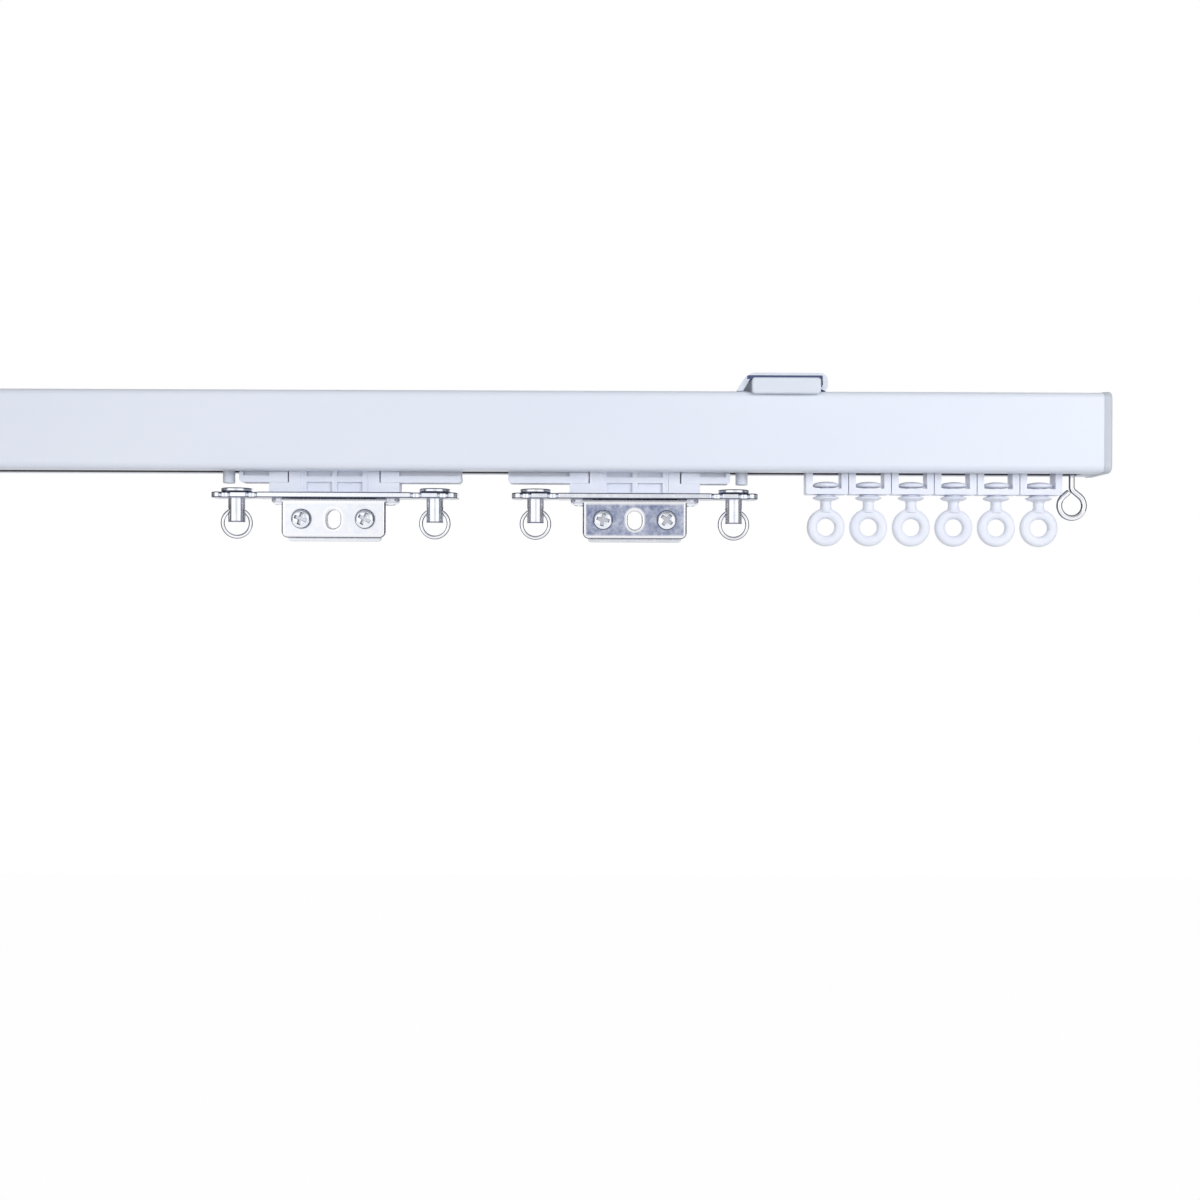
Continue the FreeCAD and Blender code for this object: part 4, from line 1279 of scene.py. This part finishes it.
    def make_bracket(self) -> Piece:
        """The folded bracket: a leg under the hook plate and a flange down its front edge."""
        front, low, top, sheet = -self.plate_edge, self.flange_low, LEVELS.plate_bottom, self.flange_sheet
        bracket = Bench.block("bracket", self.flange_half, (front, front + sheet), (low, top))
        Bench.join(bracket, Bench.block("strip", self.flange_half, (front, front + self.bend), (top - sheet, top)),
                   Bench.block("leg", self.leg_half, (front + LAP, self.plate_edge), (top - sheet, top)))
        rounds = (
            (self.flange_corner, 8, lambda p: p.z < low + NEAR, Y_AXIS),
            (sheet - self.bend_inset, 8, lambda p: p.y < front + NEAR and p.z > top - NEAR, X_AXIS),
            (self.rim, 4, lambda p: p.y < front + NEAR and p.z < top - self.bend - self.rim_end, None),
        )
        for radius, segments, test, along in rounds:
            Bench.round_edges(bracket, radius, segments, test, along)
        self.cut_plate(bracket, front, front + sheet)
        Bench.round_edges(bracket, self.oval_rim, 4, lambda p: p.y < front + NEAR and self.on_oval(p))
        Bench.bevel(bracket, self.bracket_edge)
        places = bracket.data.attributes.new("place", "FLOAT_VECTOR", "POINT")
        for point, place in zip(bracket.data.vertices, places.data):
            place.vector = point.co / MM
        # the flange's rounded rim is marked for a painted shade
        return Bench.mark(bracket, "painted_shade", self.on_rim)

    def on_rim(self, face: Face) -> float:
        """1 on the outer part of the flange's rounded rim, which gets a painted shade as a dark outline."""
        low, high = self.rim_normals
        place = face.center / MM
        outside = abs(place.x) > self.oval_half + 1 or place.z < self.flange_low + self.rim
        return float(place.z < LEVELS.plate_bottom - self.bend and outside and low < face.normal.y < high)

    def on_oval(self, point: Vector) -> bool:
        """Whether an edge is on the rim of the oval slot."""
        return abs(point.x) < self.oval_half + 0.1 and abs(point.z - LEVELS.clamp_screw) < 4

    def cut_plate(self, plate: Piece, near: float, far: float) -> None:
        """Cuts the oval slot and the two screw holes through a clamp plate that stands between two places on Y."""
        z, through = LEVELS.clamp_screw, (near - PROUD, far + PROUD)
        Bench.cut(plate, Bench.oblong("oval", (0, through, z), self.oval_half, Z_AXIS * self.oval_straight))
        for x in (-self.clamp_x, self.clamp_x):
            Bench.bore(plate, x, through, z, radius=self.clamp_screw.shank + PLAY, sides=40)

    def make_rear_plate(self) -> Piece:
        """The loose clamp plate behind the flange."""
        plate = Bench.block("rear_plate", self.rear_half, self.rear_y, self.rear_z)
        Bench.round_edges(plate, self.rear_corner, 6, along=Y_AXIS)
        self.cut_plate(plate, *self.rear_y)
        Bench.bevel(plate, self.rear_edge)
        # painted shade on the faces that look down
        return Bench.mark(plate, "painted_shade", lambda face: 0.8 * (face.normal.z < -0.3))

    def make_pin(self) -> Piece:
        """A headed pin about Z, cross-bored for its ring."""
        head, height = self.pin_head
        seat = LEVELS.plate_top + self.pin_play
        outline = [(0, self.pin_low), (self.pin_radius, self.pin_low), (self.pin_radius, seat), (head, seat),
                   (head, seat + height), (0, seat + height)]
        pin = Bench.lathe("pin", outline, 72)
        Bench.round_edges(pin, self.pin_rim, 5, self.on_pin_corner)
        reach = self.pin_radius + PROUD
        Bench.bore(pin, (-reach, reach), 0, self.pin_bore_level, radius=self.pin_bore)
        # the pin's rounded rims are marked for a painted shade, a dark outline
        return Bench.mark(pin, "painted_shade", on_rounding)

    def on_pin_corner(self, point: Vector) -> bool:
        """Whether an edge runs round the head's rims or round the pin's lower end."""
        radius = point.xy.length
        wall = LEVELS.plate_top + 0.1 < point.z < LEVELS.plate_top + self.pin_head[1]
        head = radius > self.pin_head[0] - 0.05 and not wall
        return head or (radius > self.pin_radius - 0.1 and point.z < self.pin_low + NEAR)

    def make_ring(self) -> Piece:
        """A wire ring whose two ends meet inside the pin."""
        tube = Tube(Z_AXIS * (self.ring_level + self.ring_radius), X_AXIS, self.ring_wire, 20)
        tube.bend(Z_AXIS * self.ring_level, 360 - self.ring_gap, 96)
        return tube.done("ring", self.ring_edge, 2)


@dataclass
class Glider:
    """A stirrup with a swivelling eye, modelled about x = 0 and set six times."""

    count: int = 6
    half: float = 7.95
    face: float = 3.9
    leg: float = 2.55
    bar: Pair = (-44.9, -42.75)
    bar_corner: float = 0.7
    block: Pair = (-34.0, -28.0)
    block_face: float = 3.6
    block_corner: float = 1.8
    edge: float = 0.38
    roller_level: float = -30.85
    axle: float = 1.35
    waist: float = 2.05
    play: float = 0.1
    neck: Profile = ((0, 0), (2.7, 0), (2.2, 1.5), (2.05, 2.6))
    neck_sink: float = 1.6
    disc: Profile = ((2.05, -2.7), (2.5, -2.2), (4.0, -1.9), (5.0, -1.35), (5.0, -0.95), (3.3, -0.35), (3.3, 0),
                     (2.05, 0))
    button: Profile = ((2.05, 0), (4.3, 0), (5.0, 0.5))
    button_low: float = -42.15
    button_edge: float = 0.9
    button_dome: float = 1.3
    voxel: float = 0.17
    smoothing: float = 0.5
    kept_share: float = 0.3
    ring: float = 7.25
    hole: float = 3.25
    ring_half: float = 1.8
    ring_level: float = -57.3
    ring_squareness: float = 0.9

    def build(self, finishes: Finishes) -> None:
        """Models one glider and copies it to all its places."""
        carriage, eye = self.make_carriage(), self.make_eye()
        for number in range(1, self.count + 1):
            body = "glider_%d" % number
            move = X_AXIS * middle_x(body + "_carriage")
            dress(Bench.copy(carriage, body + "_stirrup", move), finishes.eye, body, body + "_carriage")
            dress(Bench.copy(eye, body + "_swivel", move), finishes.eye, body + "_eye", body + "_eye")
        Bench.drop(carriage, eye)

    def make_carriage(self) -> Piece:
        """The stirrup: a bar below, two legs, and the roller block inside the track."""
        low, high = self.bar
        bottom, top = self.block
        bar = Bench.block("bar", self.half, self.face, self.bar)
        Bench.round_edges(bar, self.bar_corner, 4, lambda p: p.z < low + NEAR, Y_AXIS)
        legs = [Bench.block("leg", (sign * (self.half - self.leg), sign * self.half), self.face,
                            (high - LAP, bottom + LAP)) for sign in (-1, 1)]
        block = Bench.block("roller_block", self.half, self.block_face, self.block)
        Bench.round_edges(block, self.block_corner, 5, lambda p: p.z > top - NEAR, Y_AXIS)
        Bench.join(bar, *legs, block)
        Bench.bore(bar, 0, ACROSS, self.roller_level, radius=self.axle, sides=32)
        Bench.bore(bar, 0, 0, (low - PROUD, high + PROUD), radius=self.waist + self.play, sides=32)
        return Bench.bevel(bar, self.edge)

    def make_eye(self) -> Piece:
        """The eye: domed button, waist, flared disc, neck and ring in one moulding."""
        levels = ((self.neck, self.ring_level + self.ring - self.neck_sink),
                  (self.disc, self.bar[0] - self.play), (self.button, self.button_low))
        outline = [(radius, level + rise) for profile, level in levels for radius, rise in profile]
        rim, button_top = outline[-1][0], self.button_low + self.button_edge
        for turn in map(math.radians, (0, 18, 36, 54, 72)):
            outline.append((rim * math.cos(turn), button_top + self.button_dome * math.sin(turn)))
        outline.append((0, button_top + self.button_dome))
        eye = Bench.lathe("eye", outline, 48)
        Bench.join(eye, self.make_ring())
        Bench.modify(eye, "REMESH", mode="VOXEL", voxel_size=self.voxel * MM)
        Bench.modify(eye, "SMOOTH", factor=self.smoothing, iterations=8)
        return Bench.modify(eye, "DECIMATE", ratio=self.kept_share)

    def make_ring(self) -> Piece:
        """The eye's ring: a rounded section spun about Y."""
        middle, half_width = (self.ring + self.hole) / 2, (self.ring - self.hole) / 2
        section = []
        for step in range(17):
            angle = 2 * math.pi * step / 16
            across, deep = (math.copysign(abs(part) ** self.ring_squareness, part)
                            for part in (math.cos(angle), math.sin(angle)))
            section.append(Vector((middle + half_width * across, self.ring_half * deep, self.ring_level)))
        return Bench.turned("eye_ring", section, Z_AXIS * self.ring_level, Y_AXIS, 72)


@dataclass
class Studio:
    """The floor, the room's light, the lamps and the camera."""

    distance: float = 580.0
    camera_x: float = 132.1
    camera_z: float = -85.3
    roll_degrees: float = 0.222
    focal_pixels: float = 1556.0
    photo_pixels: float = 1200.0
    sensor: float = 36.0
    track_face: float = -12.5
    floor_reach: float = 4000.0
    floor_heights: Pair = (-920.0, -900.0)
    floor_colour: Point = (0.86, 0.87, 0.89)
    floor_glow: float = 0.985
    room_light: float = 0.4
    softbox_light: float = 1.25
    flank_light: float = 0.14
    front: Profile = ((0.0, 1.0), (0.22, 1.0), (0.33, 0.0))
    behind: Profile = ((0.86, 0.0), (0.92, 1.0))
    beside: Profile = ((0.4, 1.0), (0.48, 0.68), (0.62, 0.68), (0.72, 1.0))
    above: Profile = ((0.68, 1.0), (0.8, 0.45))
    aim_level: float = -30.0
    lamp_size: float = 700.0
    lamps: dict[str, tuple[Point, float]] = field(default_factory=lambda: {
        "key_softbox": ((640, -980, 160), 7.1),
        "fill_softbox": ((-350, -1150, 60), 2.7),
        "back_softbox": ((-200, 1150, 300), 8.0),
    })

    def build(self) -> None:
        """Adds the stage, the lamps and the camera."""
        floor = Bench.block("floor", self.floor_reach, self.floor_reach, self.floor_heights)
        floor.data.materials.append(self.make_floor_finish())
        scene = bpy.context.scene
        scene.world = scene.world or bpy.data.worlds.new("room")
        self.light_room(Nodes(scene.world))
        for name, (place, power) in self.lamps.items():
            self.add_lamp(name, Vector(place), power)
        self.add_camera()
        scene.view_settings.view_transform = "Standard"

    def make_floor_finish(self) -> Material:
        """A pale matt floor that camera, mirror and glass rays see as near white."""
        nodes = Nodes(bpy.data.materials.new("pale_floor"))
        nodes.tree.nodes.clear()
        matt = nodes.add("BsdfDiffuse", {"Color": (*self.floor_colour, 1)}).outputs[0]
        glow = nodes.add("Emission", {}).outputs[0]
        share = nodes.maths("MULTIPLY", nodes.seen("Camera", "Glossy", "Transmission"), self.floor_glow)
        mix = nodes.add("MixShader", {"Fac": share, 1: matt, 2: glow}).outputs[0]
        nodes.add("OutputMaterial", {"Surface": mix})
        return nodes.owner

    def light_room(self, nodes: Nodes) -> None:
        """White for camera and glass rays, a softbox and dim flanks for mirror rays, even light for the rest."""
        nodes.tree.nodes.clear()
        axes = nodes.add("SeparateXYZ", {0: nodes.add("TexCoord", {}).outputs["Generated"]})
        zones = (("Y", self.front), ("Y", self.behind), ("X", self.beside), ("Z", self.above))
        front, behind, beside, above = (self.zone(nodes, axes.outputs[axis], stops) for axis, stops in zones)
        softbox = nodes.maths("MULTIPLY", nodes.maths("MULTIPLY", beside, above), self.softbox_light)
        mirrored = nodes.mixed(behind, nodes.mixed(front, self.flank_light, softbox), 1.0)
        even = nodes.mixed(nodes.seen("Glossy"), self.room_light, mirrored)
        strength = nodes.mixed(nodes.seen("Camera", "Transmission"), even, 1.0)
        back = nodes.add("Background", {"Color": (1, 1, 1, 1), "Strength": strength}).outputs[0]
        nodes.add("OutputWorld", {"Surface": back})

    @staticmethod
    def zone(nodes: Nodes, value: Socket, stops: Profile) -> Socket:
        """Maps -1..1 through stops of (place from 0 to 1, level)."""
        shifted = nodes.add("MapRange", {"Value": value, "From Min": -1}).outputs["Result"]
        return nodes.ramp(shifted, [(place, (level, level, level)) for place, level in stops], "EASE")

    def add_lamp(self, name: str, place: Vector, power: float) -> None:
        """A square area lamp that faces the middle of what the photo shows."""
        Bench.clear()
        aim = (Vector((self.camera_x, 0, self.aim_level)) - place).to_track_quat("-Z", "Y").to_euler()
        bpy.ops.object.light_add(type="AREA", location=place * MM, rotation=aim)
        lamp = bpy.context.active_object
        lamp.name = name
        lamp.data.shape = "SQUARE"
        lamp.data.size = self.lamp_size * MM
        lamp.data.energy = power
        # metal mirrors the room's softbox and not the small bright lamps
        lamp.visible_glossy = False

    def add_camera(self) -> None:
        """The camera at the photo's place: level, square to the track and turned by the photo's small roll."""
        Bench.clear()
        place = Vector((self.camera_x, self.track_face - self.distance, self.camera_z))
        bpy.ops.object.camera_add(location=place * MM,
                                  rotation=(math.radians(90), math.radians(-self.roll_degrees), 0))
        camera = bpy.context.active_object
        camera.name = "photo_camera"
        camera.data.sensor_width = self.sensor
        camera.data.lens = self.focal_pixels / self.photo_pixels * self.sensor
        bpy.context.scene.camera = camera


def main() -> None:
    """Builds every sub-assembly in order, then the studio around it."""
    logging.basicConfig(level=logging.INFO, format="%(message)s")
    finishes = Finishes()
    for assembly in (TrackProfile(), EndCap(), CeilingClip(), StopEye(), MasterCarrier(), Glider()):
        assembly.build(finishes)
    by_slot = finishes.by_slot()
    for part in frame["record"]["subparts"]:
        paint_node(part["node"], by_slot[part["material_slot"]])
    Studio().build()


if __name__ == "__main__":
    main()
